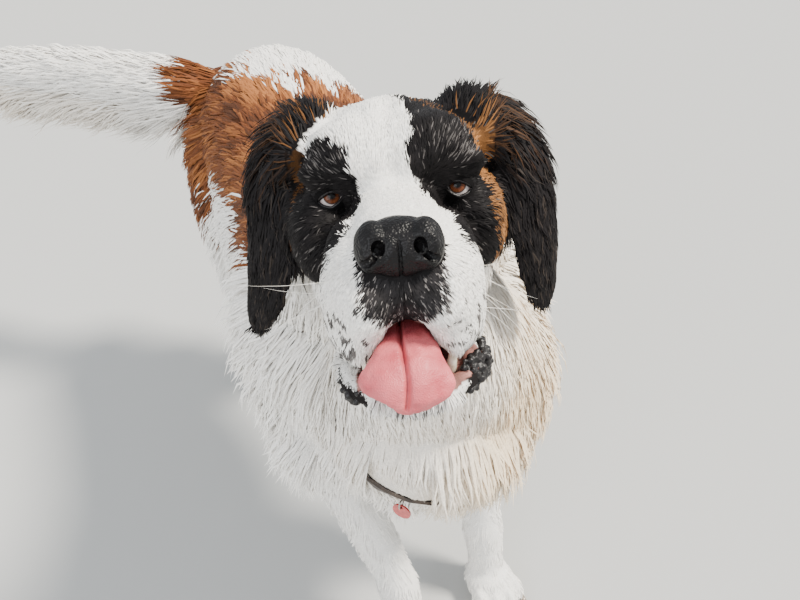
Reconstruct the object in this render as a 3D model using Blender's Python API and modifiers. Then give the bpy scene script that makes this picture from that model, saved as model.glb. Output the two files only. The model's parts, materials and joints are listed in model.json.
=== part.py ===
"""A long-haired Saint Bernard, standing with its head raised and its tail swung to its right.

Metres, +Z up. The dog faces -Y, its own left is +X, and its soles stand at Z = 0.
"""
import math
import random

import bpy
import bmesh
from mathutils import Matrix, Vector
from mathutils.bvhtree import BVHTree

# Driving dimensions
GAP = 0.0003            # left between two nodes that touch
CUT = 0.0004            # thickness of the cut that parts two nodes
BODY_VOXEL = 0.010
HEAD_VOXEL = 0.0045
BODY_FACES = 2400
HEAD_FACES = 1300
PAW_FACES = 170
LOCK_FACES = 30
EYE_MID = Vector((-0.074, -0.456, 0.907))
HEAD_YAW = math.radians(-21.6)
HEAD_PITCH = math.radians(-31.0)
HEAD_ROLL = math.radians(-2.5)
EYE_RADIUS = 0.0125
EYE_X = 0.051
STRAP_SEEN = ((-0.098, -0.415, 0.515), (-0.080, -0.445, 0.470), (-0.055, -0.468, 0.440))
COLLAR_WIDTH = 0.026
COLLAR_THICK = 0.004
TAG_RADIUS = 0.012
TAG_THICK = 0.002
TAG_RING = 0.006
TAG_RING_WIRE = 0.0011
COLLAR_CENTRE = (-0.015, -0.350, 0.588)
COLLAR_NORMAL = (-0.02, -0.797, 0.603)
REAR_SWING = math.radians(5.0)
REAR_PIVOT = Vector((0.0, 0.05, 0.0))

COLOURS = {
    "coat": (0.86, 0.83, 0.77), "brown": (0.30, 0.13, 0.05), "black": (0.03, 0.027, 0.026),
    "nose": (0.035, 0.032, 0.032), "tongue": (0.70, 0.25, 0.27), "eye": (0.16, 0.06, 0.025),
    "leather": (0.13, 0.09, 0.06), "metal": (0.62, 0.58, 0.50), "tag": (0.60, 0.07, 0.06),
}
SIDES = {"left": 1, "right": -1}
# The order in which the nodes' locks grow, each cut clear of its neighbours
ORDER = ("collar", "tag", "tag_ring", "head", "lower_jaw", "ear_left", "ear_right", "neck", "foreleg_left",
         "foreleg_right", "torso", "thigh_left", "thigh_right", "hock_left", "hock_right", "tail_base",
         "tail_plume")


def clear_scene():
    for old in list(bpy.data.objects):
        bpy.data.objects.remove(old, do_unlink=True)


def make_collection(name, shown=True):
    made = bpy.data.collections.new(name)
    bpy.context.scene.collection.children.link(made)
    made.hide_render = not shown
    return made


def material(slot, roughness=0.8, metallic=0.0):
    made = bpy.data.materials.get(slot)
    if made:
        return made
    made = bpy.data.materials.new(slot)
    made.use_nodes = True
    shader = made.node_tree.nodes["Principled BSDF"]
    shader.inputs["Base Color"].default_value = (*COLOURS[slot], 1.0)
    shader.inputs["Roughness"].default_value = roughness
    shader.inputs["Metallic"].default_value = metallic
    return made


def new_object(name, mesh, collection):
    made = bpy.data.objects.new(name, mesh)
    collection.objects.link(made)
    return made


def mesh_from(bm, name):
    mesh = bpy.data.meshes.new(name)
    bm.to_mesh(mesh)
    bm.free()
    return mesh


def applied(obj):
    """Replaces the object's mesh with its evaluated one, modifiers and all."""
    bpy.context.view_layer.update()
    graph = bpy.context.evaluated_depsgraph_get()
    mesh = bpy.data.meshes.new_from_object(obj.evaluated_get(graph))
    obj.modifiers.clear()
    obj.data = mesh
    return obj


# Primitive forms

def smooth_path(stations, steps):
    """Stations (x, y, z, half width, half height) joined by a Catmull-Rom curve."""
    points = [Vector(s) for s in stations]
    padded = [points[0] * 2 - points[1]] + points + [points[-1] * 2 - points[-2]]
    path = []
    for i in range(1, len(padded) - 2):
        a, b, c, d = padded[i - 1:i + 3]
        for k in range(steps):
            t = k / steps
            path.append(0.5 * (2 * b + (c - a) * t + (2 * a - 5 * b + 4 * c - d) * t * t
                               + (3 * b - a - 3 * c + d) * t ** 3))
    return path + [points[-1]]


def frame_at(path, i, side):
    """Tangent, width axis and height axis of a path at its point i."""
    before, after = path[max(i - 1, 0)], path[min(i + 1, len(path) - 1)]
    tangent = (after.xyz - before.xyz if len(after) == 3 else
               Vector(after[:3]) - Vector(before[:3])).normalized()
    width = (side - tangent * side.dot(tangent)).normalized()
    return tangent, width, tangent.cross(width)


def limb(bm, stations, side=(1, 0, 0), sides=20, steps=3, cup=0.0, caps=(0.55, 0.85)):
    """A closed tube of elliptic rings through the stations, with round or tapered ends."""
    side = Vector(side)
    path = smooth_path(stations, steps)
    rings = []

    def ring(centre, width, height, half_width, half_height):
        made = []
        for k in range(sides):
            a = 2 * math.pi * k / sides
            across, up = math.cos(a), math.sin(a)
            lift = cup * (across * across - 0.5) * half_width
            made.append(bm.verts.new(centre + width * across * half_width
                                     + height * (up * half_height + lift)))
        rings.append(made)

    for i, station in enumerate(path):
        tangent, width, height = frame_at(path, i, side)
        centre, half_width, half_height = Vector(station[:3]), station[3], station[4]
        reach = min(half_width, half_height)
        if i == 0:
            pole = bm.verts.new(centre - tangent * reach * 0.95)
            for share in reversed(caps):
                ring(centre - tangent * reach * share, width, height,
                     half_width * math.sqrt(1 - share ** 2), half_height * math.sqrt(1 - share ** 2))
        ring(centre, width, height, half_width, half_height)
        if i == len(path) - 1:
            for share in caps:
                ring(centre + tangent * reach * share, width, height,
                     half_width * math.sqrt(1 - share ** 2), half_height * math.sqrt(1 - share ** 2))
            far_pole = bm.verts.new(centre + tangent * reach * 0.95)
    for low, high in zip(rings, rings[1:]):
        for k in range(sides):
            j = (k + 1) % sides
            bm.faces.new((low[k], low[j], high[j], high[k]))
    for k in range(sides):
        j = (k + 1) % sides
        bm.faces.new((pole, rings[0][j], rings[0][k]))
        bm.faces.new((far_pole, rings[-1][k], rings[-1][j]))


def ellipsoid(bm, centre, radii, turn=(0, 0, 0), segments=20, rings=14):
    rotation = (Matrix.Rotation(turn[2], 4, "Z") @ Matrix.Rotation(turn[1], 4, "Y")
                @ Matrix.Rotation(turn[0], 4, "X"))
    matrix = Matrix.Translation(centre) @ rotation @ Matrix.Diagonal((*radii, 1))
    bmesh.ops.create_uvsphere(bm, u_segments=segments, v_segments=rings, radius=1, matrix=matrix)


def pair(build):
    """Runs build(sign) for the left side, +1, and the right side, -1."""
    for sign in (1, -1):
        build(sign)


def outward(bm):
    bmesh.ops.recalc_face_normals(bm, faces=bm.faces)


def fused(name, bm, voxel, smoothing, faces, collection):
    """Overlapping closed forms made into one smooth skin of about that many triangles."""
    outward(bm)
    obj = new_object(name, mesh_from(bm, name), collection)
    remesh = obj.modifiers.new("Remesh", "REMESH")
    remesh.mode = "VOXEL"
    remesh.voxel_size = voxel
    smooth = obj.modifiers.new("Smooth", "SMOOTH")
    smooth.factor = 0.5
    smooth.iterations = smoothing
    applied(obj)
    triangulate = obj.modifiers.new("Triangulate", "TRIANGULATE")
    reduce = obj.modifiers.new("Decimate", "DECIMATE")
    reduce.use_collapse_triangulate = True
    reduce.ratio = min(1.0, faces / (2 * len(obj.data.polygons)))
    return applied(obj)


# Booleans

def boolean(obj, operation, others, solver="MANIFOLD"):
    """Joins, cuts or intersects obj with closed mesh objects, which are then removed."""
    group = bpy.data.collections.new("operands")
    for other in others:
        group.objects.link(other)
    modifier = obj.modifiers.new("Boolean", "BOOLEAN")
    modifier.operand_type = "COLLECTION"
    modifier.collection = group
    modifier.operation = operation
    modifier.solver = solver
    applied(obj)
    for other in list(group.objects):
        bpy.data.objects.remove(other, do_unlink=True)
    bpy.data.collections.remove(group)
    return obj


def bodies_of(bm):
    """The connected groups of faces, largest enclosed volume first."""
    left = set(bm.faces)
    found = []
    while left:
        front = [left.pop()]
        group = set(front)
        while front:
            face = front.pop()
            for edge in face.edges:
                if len(edge.link_faces) != 2:
                    continue
                for near in edge.link_faces:
                    if near in left:
                        left.discard(near)
                        group.add(near)
                        front.append(near)
        found.append(group)
    return sorted(found, key=volume_of, reverse=True)


def volume_of(faces):
    total = 0.0
    for face in faces:
        corners = [v.co for v in face.verts]
        for k in range(1, len(corners) - 1):
            total += corners[0].dot(corners[k].cross(corners[k + 1])) / 6
    return total


def keep_largest(obj):
    bm = bmesh.new()
    bm.from_mesh(obj.data)
    groups = bodies_of(bm)
    loose = [face for group in groups[1:] for face in group]
    if loose:
        bmesh.ops.delete(bm, geom=loose, context="FACES")
        bmesh.ops.delete(bm, geom=[v for v in bm.verts if not v.link_faces], context="VERTS")
        bm.to_mesh(obj.data)
    bm.free()
    return obj


def plate(centre, normal, radius, thickness=CUT):
    """A thin disc that parts two nodes."""
    bm = bmesh.new()
    turn = Vector(normal).to_track_quat("Z", "Y").to_matrix().to_4x4()
    bmesh.ops.create_cone(bm, cap_ends=True, segments=32, radius1=radius, radius2=radius,
                          depth=thickness, matrix=Matrix.Translation(centre) @ turn)
    return new_object("plate", mesh_from(bm, "plate"), helpers)


def block(low, high):
    bm = bmesh.new()
    size = Vector(high) - Vector(low)
    middle = (Vector(high) + Vector(low)) / 2
    bmesh.ops.create_cube(bm, size=1, matrix=Matrix.Translation(middle) @ Matrix.Diagonal((*size, 1)))
    return new_object("block", mesh_from(bm, "block"), helpers)


def swollen(obj, by=GAP):
    """A copy of obj, grown by the gap that touching nodes keep."""
    made = new_object("swollen", obj.data.copy(), helpers)
    made.matrix_world = obj.matrix_world
    grow = made.modifiers.new("Displace", "DISPLACE")
    grow.mid_level = 0
    grow.strength = by
    return applied(made)


def split_by(whole, seeds):
    """Parts a cut mesh into one object for each seed point, by the nearest surface."""
    bm = bmesh.new()
    bm.from_mesh(whole.data)
    groups = bodies_of(bm)
    made = {}
    for name, seed in seeds.items():
        best = min(groups, key=lambda g: min((f.calc_center_median() - Vector(seed)).length for f in g))
        groups = [g for g in groups if g is not best]
        part = bmesh.new()
        known = {}
        for face in best:
            corners = []
            for v in face.verts:
                if v.index not in known:
                    known[v.index] = part.verts.new(v.co)
                corners.append(known[v.index])
            part.faces.new(corners)
        made[name] = new_object(name, mesh_from(part, name), dog)
    bm.free()
    bpy.data.objects.remove(whole, do_unlink=True)
    return made


# The head, modelled about the middle of the eyes, muzzle towards -Y

head_matrix = (Matrix.Translation(EYE_MID) @ Matrix.Rotation(HEAD_YAW, 4, "Z")
               @ Matrix.Rotation(HEAD_PITCH, 4, "X") @ Matrix.Rotation(HEAD_ROLL, 4, "Y"))


def to_head(obj):
    """Carries an object made in the head's own axes to its place on the dog."""
    obj.data.transform(head_matrix)
    return obj


def head_forms(bm):
    ellipsoid(bm, (0, 0.075, 0.018), (0.087, 0.095, 0.067))
    ellipsoid(bm, (0, 0.030, 0.019), (0.066, 0.060, 0.049))
    limb(bm, [(0, 0.010, -0.012, 0.040, 0.028), (0, -0.050, -0.024, 0.036, 0.026),
              (0, -0.112, -0.034, 0.033, 0.023)])
    ellipsoid(bm, (0, -0.062, -0.055), (0.050, 0.066, 0.044))
    ellipsoid(bm, (0, 0.06, -0.055), (0.062, 0.075, 0.05))

    def side(s):
        ellipsoid(bm, (s * 0.030, 0.030, 0.026), (0.046, 0.060, 0.042))
        ellipsoid(bm, (s * 0.048, -0.002, 0.019), (0.030, 0.022, 0.013))
        ellipsoid(bm, (s * 0.062, 0.045, -0.028), (0.034, 0.062, 0.050))
        ellipsoid(bm, (s * 0.052, 0.075, -0.060), (0.034, 0.050, 0.045))
        limb(bm, [(s * 0.038, -0.010, -0.060, 0.024, 0.050), (s * 0.037, -0.060, -0.072, 0.025, 0.056),
                  (s * 0.026, -0.104, -0.062, 0.024, 0.038)])

    pair(side)


def almond(s, grow):
    """A prism whose outline is the opening between the lids, the lower lid drooping."""
    bm = bmesh.new()
    count = 14
    rings = []
    for y in (-0.045, 0.004):
        ring = []
        for k in range(count):
            a = 2 * math.pi * k / count
            x = math.cos(a) * (0.0100 + grow)
            z = math.sin(a) * (0.0055 if math.sin(a) > 0 else 0.0070) * (1 - 0.25 * abs(math.cos(a)))
            z += grow * math.sin(a) - 0.0015 * (x / 0.01) * 1.0
            ring.append(bm.verts.new((s * (EYE_X + x), y, z)))
        rings.append(ring)
    low, high = rings
    for k in range(count):
        j = (k + 1) % count
        bm.faces.new((low[k], low[j], high[j], high[k]))
    bm.faces.new(low)
    bm.faces.new(high)
    outward(bm)
    return new_object("almond", mesh_from(bm, "almond"), helpers)


def ball(centre, radius):
    bm = bmesh.new()
    ellipsoid(bm, centre, (radius, radius, radius), segments=12, rings=8)
    return new_object("ball", mesh_from(bm, "ball"), helpers)


def shape(name, build, collection=None):
    """One closed mesh object from a function that fills a bmesh."""
    bm = bmesh.new()
    build(bm)
    outward(bm)
    return new_object(name, mesh_from(bm, name), collection or helpers)


def eye_centre(s):
    return Vector((s * EYE_X, 0.004, 0.0))


def make_head():
    bm = bmesh.new()
    head_forms(bm)
    head = fused("head", bm, HEAD_VOXEL, 3, HEAD_FACES, dog)
    boolean(head, "UNION", [ball(eye_centre(s), EYE_RADIUS + 0.0035) for s in (1, -1)])
    boolean(head, "DIFFERENCE", [almond(s, 0.0) for s in (1, -1)])
    boolean(head, "DIFFERENCE", [ball(eye_centre(s), EYE_RADIUS + GAP) for s in (1, -1)])
    mouth = shape("mouth", lambda bm: limb(bm, [
        (0, 0.020, -0.096, 0.026, 0.010), (0, -0.040, -0.100, 0.032, 0.016),
        (0, -0.090, -0.106, 0.030, 0.021), (0, -0.150, -0.116, 0.034, 0.030)]))
    boolean(head, "DIFFERENCE", [mouth])
    return keep_largest(head)


def make_jaw():
    bm = bmesh.new()
    limb(bm, [(0, 0.045, -0.098, 0.040, 0.018), (0, -0.010, -0.116, 0.038, 0.017),
              (0, -0.055, -0.130, 0.036, 0.016), (0, -0.084, -0.137, 0.031, 0.014)])
    pair(lambda s: limb(bm, [(s * 0.040, -0.010, -0.108, 0.010, 0.010),
                             (s * 0.045, -0.050, -0.118, 0.010, 0.009),
                             (s * 0.036, -0.082, -0.130, 0.008, 0.008)], sides=10))
    return fused("lower_jaw", bm, 0.0045, 2, 200, dog)


def make_tongue():
    bm = bmesh.new()
    limb(bm, [(-0.002, -0.020, -0.088, 0.022, 0.0065), (-0.003, -0.070, -0.094, 0.028, 0.0065),
              (-0.004, -0.104, -0.104, 0.033, 0.006), (-0.005, -0.119, -0.122, 0.033, 0.0055),
              (-0.005, -0.123, -0.136, 0.024, 0.005), (-0.005, -0.122, -0.144, 0.013, 0.004)],
         sides=10, steps=2, cup=-0.25, caps=())
    outward(bm)
    return new_object("tongue", mesh_from(bm, "tongue"), dog)


def make_nose():
    bm = bmesh.new()
    ellipsoid(bm, (0, -0.120, -0.031), (0.029, 0.017, 0.023))
    pair(lambda s: ellipsoid(bm, (s * 0.017, -0.125, -0.033), (0.013, 0.013, 0.018)))
    nose = fused("nose", bm, 0.0028, 2, 200, dog)
    nostrils = [shape("nostril", lambda bm, s=s: limb(bm, [
        (s * 0.0135, -0.150, -0.033, 0.0045, 0.0058), (s * 0.015, -0.135, -0.034, 0.0045, 0.0058),
        (s * 0.024, -0.122, -0.038, 0.0024, 0.0040)], sides=8, steps=2)) for s in (1, -1)]
    boolean(nose, "DIFFERENCE", nostrils)
    return keep_largest(nose)


def make_ear(name, s):
    width_axis = Vector((0.45 * s, 0.89, 0.0)).normalized()
    stations = [(0.046, 0.060, 0.050, 0.032, 0.016), (0.078, 0.066, 0.060, 0.042, 0.014),
                (0.114, 0.078, 0.026, 0.049, 0.010), (0.126, 0.088, -0.030, 0.047, 0.008),
                (0.131, 0.100, -0.075, 0.039, 0.007), (0.135, 0.111, -0.105, 0.026, 0.006),
                (0.137, 0.117, -0.122, 0.012, 0.004)]
    spill = (0, 0.003, 0.009, 0.008, 0.001, -0.006, -0.009) if s < 0 else (0, 0, 0, 0, 0, 0, 0)
    stations = [(s * (x - out), y, z, w, h) for (x, y, z, w, h), out in zip(stations, spill)]
    bm = bmesh.new()
    limb(bm, stations, side=width_axis, sides=12, steps=2, cup=-0.5 * s)
    outward(bm)
    return new_object(name, mesh_from(bm, name), dog)


# The body

def rear(station):
    """Swings a station of the hindquarters about the loins."""
    point = Matrix.Rotation(REAR_SWING, 3, "Z") @ (Vector(station[:3]) - REAR_PIVOT) + REAR_PIVOT
    return (*point, *station[3:])


TRUNK = [(-0.010, -0.375, 0.545, 0.115, 0.120), (0, -0.290, 0.560, 0.165, 0.185),
         (0, -0.190, 0.565, 0.180, 0.200), (0.004, -0.060, 0.555, 0.182, 0.192),
         (0.006, 0.080, 0.575, 0.170, 0.166), (0.006, 0.200, 0.600, 0.150, 0.150),
         (0.000, 0.300, 0.608, 0.138, 0.140), (-0.030, 0.380, 0.600, 0.095, 0.100)]
NECK = [(0, -0.215, 0.640, 0.135, 0.12), (-0.015, -0.285, 0.735, 0.120, 0.115),
        (-0.030, -0.335, 0.815, 0.100, 0.100), (-0.040, -0.375, 0.860, 0.080, 0.080)]
THROAT = [(-0.050, -0.400, 0.790, 0.070, 0.070), (-0.020, -0.392, 0.690, 0.100, 0.092),
          (0.008, -0.365, 0.580, 0.130, 0.100), (0.010, -0.350, 0.490, 0.122, 0.095)]
FORELEG = {
    1: [(0.125, -0.255, 0.470, 0.062, 0.085), (0.128, -0.235, 0.385, 0.050, 0.062),
        (0.120, -0.270, 0.270, 0.041, 0.046), (0.115, -0.298, 0.170, 0.035, 0.039),
        (0.114, -0.308, 0.135, 0.038, 0.040), (0.113, -0.322, 0.085, 0.034, 0.036),
        (0.112, -0.330, 0.050, 0.034, 0.036)],
    -1: [(-0.125, -0.255, 0.470, 0.062, 0.085), (-0.112, -0.245, 0.385, 0.050, 0.062),
         (-0.085, -0.295, 0.270, 0.041, 0.046), (-0.062, -0.336, 0.170, 0.035, 0.039),
         (-0.056, -0.348, 0.135, 0.038, 0.040), (-0.053, -0.363, 0.085, 0.034, 0.036),
         (-0.051, -0.371, 0.050, 0.034, 0.036)],
}
FOREPAW = {1: Vector((0.111, -0.345, 0.031)), -1: Vector((-0.049, -0.388, 0.031))}


def hindleg(s):
    return [rear(station) for station in (
        (s * 0.070, 0.285, 0.600, 0.072, 0.100), (s * 0.085, 0.275, 0.500, 0.070, 0.112),
        (s * 0.096, 0.240, 0.400, 0.056, 0.083), (s * 0.094, 0.290, 0.300, 0.041, 0.054),
        (s * 0.082, 0.358, 0.205, 0.030, 0.039), (s * 0.079, 0.356, 0.120, 0.028, 0.032),
        (s * 0.078, 0.346, 0.065, 0.030, 0.033), (s * 0.078, 0.338, 0.045, 0.030, 0.033))]


def hindpaw_centre(s):
    return Vector(rear((s * 0.078, 0.318, 0.029)))


TAIL = [(-0.060, 0.395, 0.640, 0.045, 0.045), (-0.130, 0.432, 0.646, 0.040, 0.042),
        (-0.215, 0.500, 0.650, 0.036, 0.040), (-0.310, 0.588, 0.648, 0.033, 0.038),
        (-0.405, 0.668, 0.642, 0.028, 0.032), (-0.475, 0.725, 0.640, 0.016, 0.018)]
ANKLE = {"forepaw": 0.082, "hindpaw": 0.072}


def body_forms(bm):
    limb(bm, TRUNK, sides=28)
    ellipsoid(bm, (0.012, -0.332, 0.500), (0.150, 0.090, 0.125))
    ellipsoid(bm, (0.005, -0.340, 0.430), (0.105, 0.075, 0.062))
    limb(bm, NECK, sides=24)
    limb(bm, THROAT, sides=24)

    def side(s):
        ellipsoid(bm, (s * 0.125, -0.215, 0.535), (0.065, 0.100, 0.160), turn=(math.radians(-12), 0, 0))
        limb(bm, FORELEG[s], sides=18)
        limb(bm, hindleg(s), sides=18)

    pair(side)


def make_paw(name, leg, centre, width, collection):
    """A paw with four toes and their claws, its sole cut flat on the floor."""
    kind = name.split("_")[0]
    bm = bmesh.new()
    limb(bm, [s for s in leg if s[2] < 0.19], sides=18)
    ellipsoid(bm, centre, (0.044 * width, 0.052 * width, 0.036 * width))
    claws = []
    for k, across in enumerate((-0.033, -0.012, 0.012, 0.033)):
        reach = 0.030 if k in (0, 3) else 0.046
        toe = centre + Vector((across, -reach, -0.004)) * width
        ellipsoid(bm, toe, (0.0145 * width, 0.028 * width, 0.026 * width))
        tip = toe + Vector((across * 0.12, -0.031, -0.010)) * width
        claws.append(shape("claw", lambda bm, toe=toe, tip=tip: limb(bm, [
            (*(toe + (tip - toe) * 0.45), 0.0048, 0.0055), (*tip, 0.0042, 0.0048),
            (*(tip + Vector((0, -0.008, -0.006))), 0.0018, 0.002)],
            sides=6, steps=1, caps=())))
    paw = fused(name, bm, 0.0048, 2, PAW_FACES, collection)
    boolean(paw, "UNION", claws)
    top = ANKLE[kind] - GAP / 2
    boolean(paw, "DIFFERENCE", [block((-1, -1, -1), (1, 1, 0)), block((-1, -1, top), (1, 1, 1))])
    return keep_largest(paw)


def make_collar(body):
    """A strap that follows the neck, half sunk in the coat, and the body's groove for it."""
    centre = Vector(COLLAR_CENTRE)
    normal = Vector(COLLAR_NORMAL).normalized()

    def ring(bm):
        turn = normal.to_track_quat("Z", "Y").to_matrix().to_4x4()
        bmesh.ops.create_cone(bm, cap_ends=True, segments=32, radius1=0.3, radius2=0.3,
                              depth=COLLAR_WIDTH, matrix=Matrix.Translation(centre) @ turn)
    strap = shape("collar", ring, dog)
    boolean(strap, "INTERSECT", [swollen(body, 0.002)])
    boolean(strap, "DIFFERENCE", [swollen(body, 0.002 - COLLAR_THICK)])
    keep_largest(strap)
    boolean(body, "DIFFERENCE", [swollen(strap)])
    boolean(body, "DIFFERENCE", [plate(centre, normal, 0.30)])
    return strap


def leg_region(s, is_rear, grow):
    """What belongs to one leg: a dome over its root, and all the room below the belly on its side."""
    middle = rear((0, 0.300, 0))[0] if is_rear else 0.012
    if is_rear:
        centre, radii, top = rear((s * 0.115, 0.268, 0.100)), (0.110, 0.150, 0.520), 0.375
    else:
        centre, radii = (0.150 if s > 0 else -0.138, -0.238, 0.100), (0.105, 0.125, 0.420)
        top = 0.330
    dome = shape("dome", lambda bm: ellipsoid(
        bm, centre, [r + grow for r in radii], segments=16, rings=16))
    near, far = sorted((middle, s * 0.30))
    rows = (0.10, 0.60) if is_rear else (-0.62, 0.0)
    boolean(dome, "UNION", [block((near - grow, rows[0], -0.10), (far + grow, rows[1], top))])
    return dome


def make_body():
    bm = bmesh.new()
    body_forms(bm)
    body = fused("body", bm, BODY_VOXEL, 4, BODY_FACES, helpers)
    made = {}
    for side_name, s in SIDES.items():
        for is_rear, leg, upper, kind in ((False, FORELEG[s], "foreleg_", "forepaw"),
                                          (True, hindleg(s), "thigh_", "hindpaw")):
            limb_part = new_object("limb", body.data.copy(), dog)
            boolean(limb_part, "INTERSECT", [leg_region(s, is_rear, -GAP / 2)])
            boolean(limb_part, "DIFFERENCE", [block((-1, -1, -1), (1, 1, ANKLE[kind] + GAP / 2))])
            boolean(body, "DIFFERENCE", [leg_region(s, is_rear, GAP / 2)])
            keep_largest(body)
            if is_rear:
                hock = hindleg(s)[4]
                joint = (hock[0], hock[1], hock[2] + 0.025)
                boolean(limb_part, "DIFFERENCE", [plate(joint, (0, -0.35, 1), 0.2)])
                made.update(split_by(limb_part, {upper + side_name: hindleg(s)[2][:3],
                                                 "hock_" + side_name: hindleg(s)[5][:3]}))
            else:
                limb_part.name = upper + side_name
                made[limb_part.name] = keep_largest(limb_part)
    collar = make_collar(body)
    made.update(split_by(body, {"neck": (-0.02, -0.33, 0.86), "torso": (0.0, 0.0, 0.75)}))
    return made, collar


def make_tail(torso):
    tail = shape("tail", lambda bm: limb(bm, TAIL, side=(0.6, -0.8, 0), sides=16, steps=2))
    boolean(tail, "DIFFERENCE", [swollen(torso)])
    keep_largest(tail)
    boolean(tail, "DIFFERENCE", [plate((-0.190, 0.480, 0.64), (-0.75, 0.66, 0), 0.15)])
    return split_by(tail, {"tail_base": (-0.14, 0.44, 0.64), "tail_plume": (-0.35, 0.62, 0.64)})


def torus(bm, centre, axis, major, minor, around=12, sides=6):
    """A ring about an axis."""
    turn = Vector(axis).to_track_quat("Z", "Y").to_matrix().to_4x4()
    place = Matrix.Translation(centre) @ turn
    rings = []
    for i in range(around):
        a = 2 * math.pi * i / around
        rings.append([bm.verts.new(place @ Vector((
            (major + minor * math.cos(b)) * math.cos(a), (major + minor * math.cos(b)) * math.sin(a),
            minor * math.sin(b)))) for b in (2 * math.pi * k / sides for k in range(sides))])
    for i in range(around):
        low, high = rings[i], rings[(i + 1) % around]
        for k in range(sides):
            j = (k + 1) % sides
            bm.faces.new((low[k], low[j], high[j], high[k]))


def make_tag(collar):
    """A small round tag on a ring, hanging below the part of the strap that the coat leaves bare."""
    tree = tree_of(collar)
    bare = Vector(STRAP_SEEN[1])
    away = (bare - Vector(COLLAR_CENTRE)).normalized()
    strap, normal, _, _ = tree.ray_cast(bare + away * 0.2, -away)
    outward_flat = Vector((normal.x, normal.y, 0)).normalized()
    hang = strap + normal * (TAG_RING_WIRE + GAP) + Vector((0, 0, -TAG_RING))
    across = outward_flat.cross(Vector((0, 0, 1)))
    ring = shape("tag_ring", lambda bm: torus(bm, hang, across, TAG_RING, TAG_RING_WIRE), dog)
    boolean(ring, "DIFFERENCE", [swollen(collar)])
    keep_largest(ring)
    low = hang + Vector((0, 0, -TAG_RING - TAG_RADIUS + 0.004))
    turn = outward_flat.to_track_quat("Z", "Y").to_matrix().to_4x4()
    tag = shape("tag", lambda bm: bmesh.ops.create_cone(
        bm, cap_ends=True, segments=20, radius1=TAG_RADIUS, radius2=TAG_RADIUS, depth=TAG_THICK,
        matrix=Matrix.Translation(low) @ turn), dog)
    hole = shape("hole", lambda bm: bmesh.ops.create_cone(
        bm, cap_ends=True, segments=12, radius1=0.002, radius2=0.002, depth=0.01,
        matrix=Matrix.Translation(hang + Vector((0, 0, -TAG_RING))) @ turn))
    boolean(tag, "DIFFERENCE", [hole])
    boolean(tag, "DIFFERENCE", [swollen(ring)])
    return keep_largest(tag)


# The long coat, as flat tapered locks that overlap along its lie

def lock(root, normal, lie, length, width, thick, lift, sag, curl):
    """One lock of a few four-sided rings, its root sunk in the body and its tip bent down."""
    across = lie.cross(normal).normalized()
    rings = []
    bm = bmesh.new()
    shape_of = ((-0.12, 0.40, 0.8), (0.34, 1.0, 1.0), (0.74, 0.70, 0.7))

    def place(t):
        rise = lift * (t - 0.76 * t * t)
        return (root + lie * length * t + normal * length * rise
                + Vector((0, 0, -sag)) * length * t * t + across * length * curl * t * t)

    for t, wide, deep in shape_of:
        centre = place(t)
        along = (place(t + 0.05) - place(t - 0.05)).normalized()
        if t < 0:
            centre -= normal * 0.010
        side = (across - along * across.dot(along)).normalized()
        up = side.cross(along)
        rings.append([bm.verts.new(centre + side * width * wide * 0.5 * i + up * thick * deep * 0.5 * k)
                      for i, k in ((1, 0), (0, 1), (-1, 0), (0, -1))])
    tip = bm.verts.new(place(1.0))
    for low, high in zip(rings, rings[1:]):
        for k in range(4):
            j = (k + 1) % 4
            bm.faces.new((low[k], low[j], high[j], high[k]))
    bm.faces.new(rings[0])
    for k in range(4):
        bm.faces.new((tip, rings[-1][k], rings[-1][(k + 1) % 4]))
    outward(bm)
    return new_object("lock", mesh_from(bm, "lock"), helpers)


def plant(skins, wanted, inside, away, lie, length, width, thick=0.013, lift=0.28, sag=0.0, spread=0.12):
    """Roots one lock where a line from inside leaves the body, if that is on a wanted node."""
    away = Vector(away).normalized()
    start = Vector(inside) + away * 0.6
    best = None
    for name, tree in skins.items():
        hit, normal, _, distance = tree.ray_cast(start, -away)
        if hit and (best is None or distance < best[3]):
            best = (name, hit, normal, distance)
    if best is None or best[0] not in wanted:
        return None
    name, hit, normal, _ = best
    lie = Vector(lie)
    lie = (lie - normal * lie.dot(normal)).normalized()
    turn = random.uniform(-spread, spread)
    lie = (lie + lie.cross(normal) * turn).normalized()
    middle = hit + lie * length * 0.7
    if name == "neck" and min((middle - Vector(seen)).length for seen in STRAP_SEEN) < 0.040:
        return None
    length *= random.uniform(0.85, 1.15)
    width *= random.uniform(0.85, 1.15)
    curl = random.uniform(-0.14, 0.14)
    locks.setdefault(name, []).append(
        lock(hit, normal, lie, length, width, thick, lift * random.uniform(0.8, 1.2), sag, curl))
    return name


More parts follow.
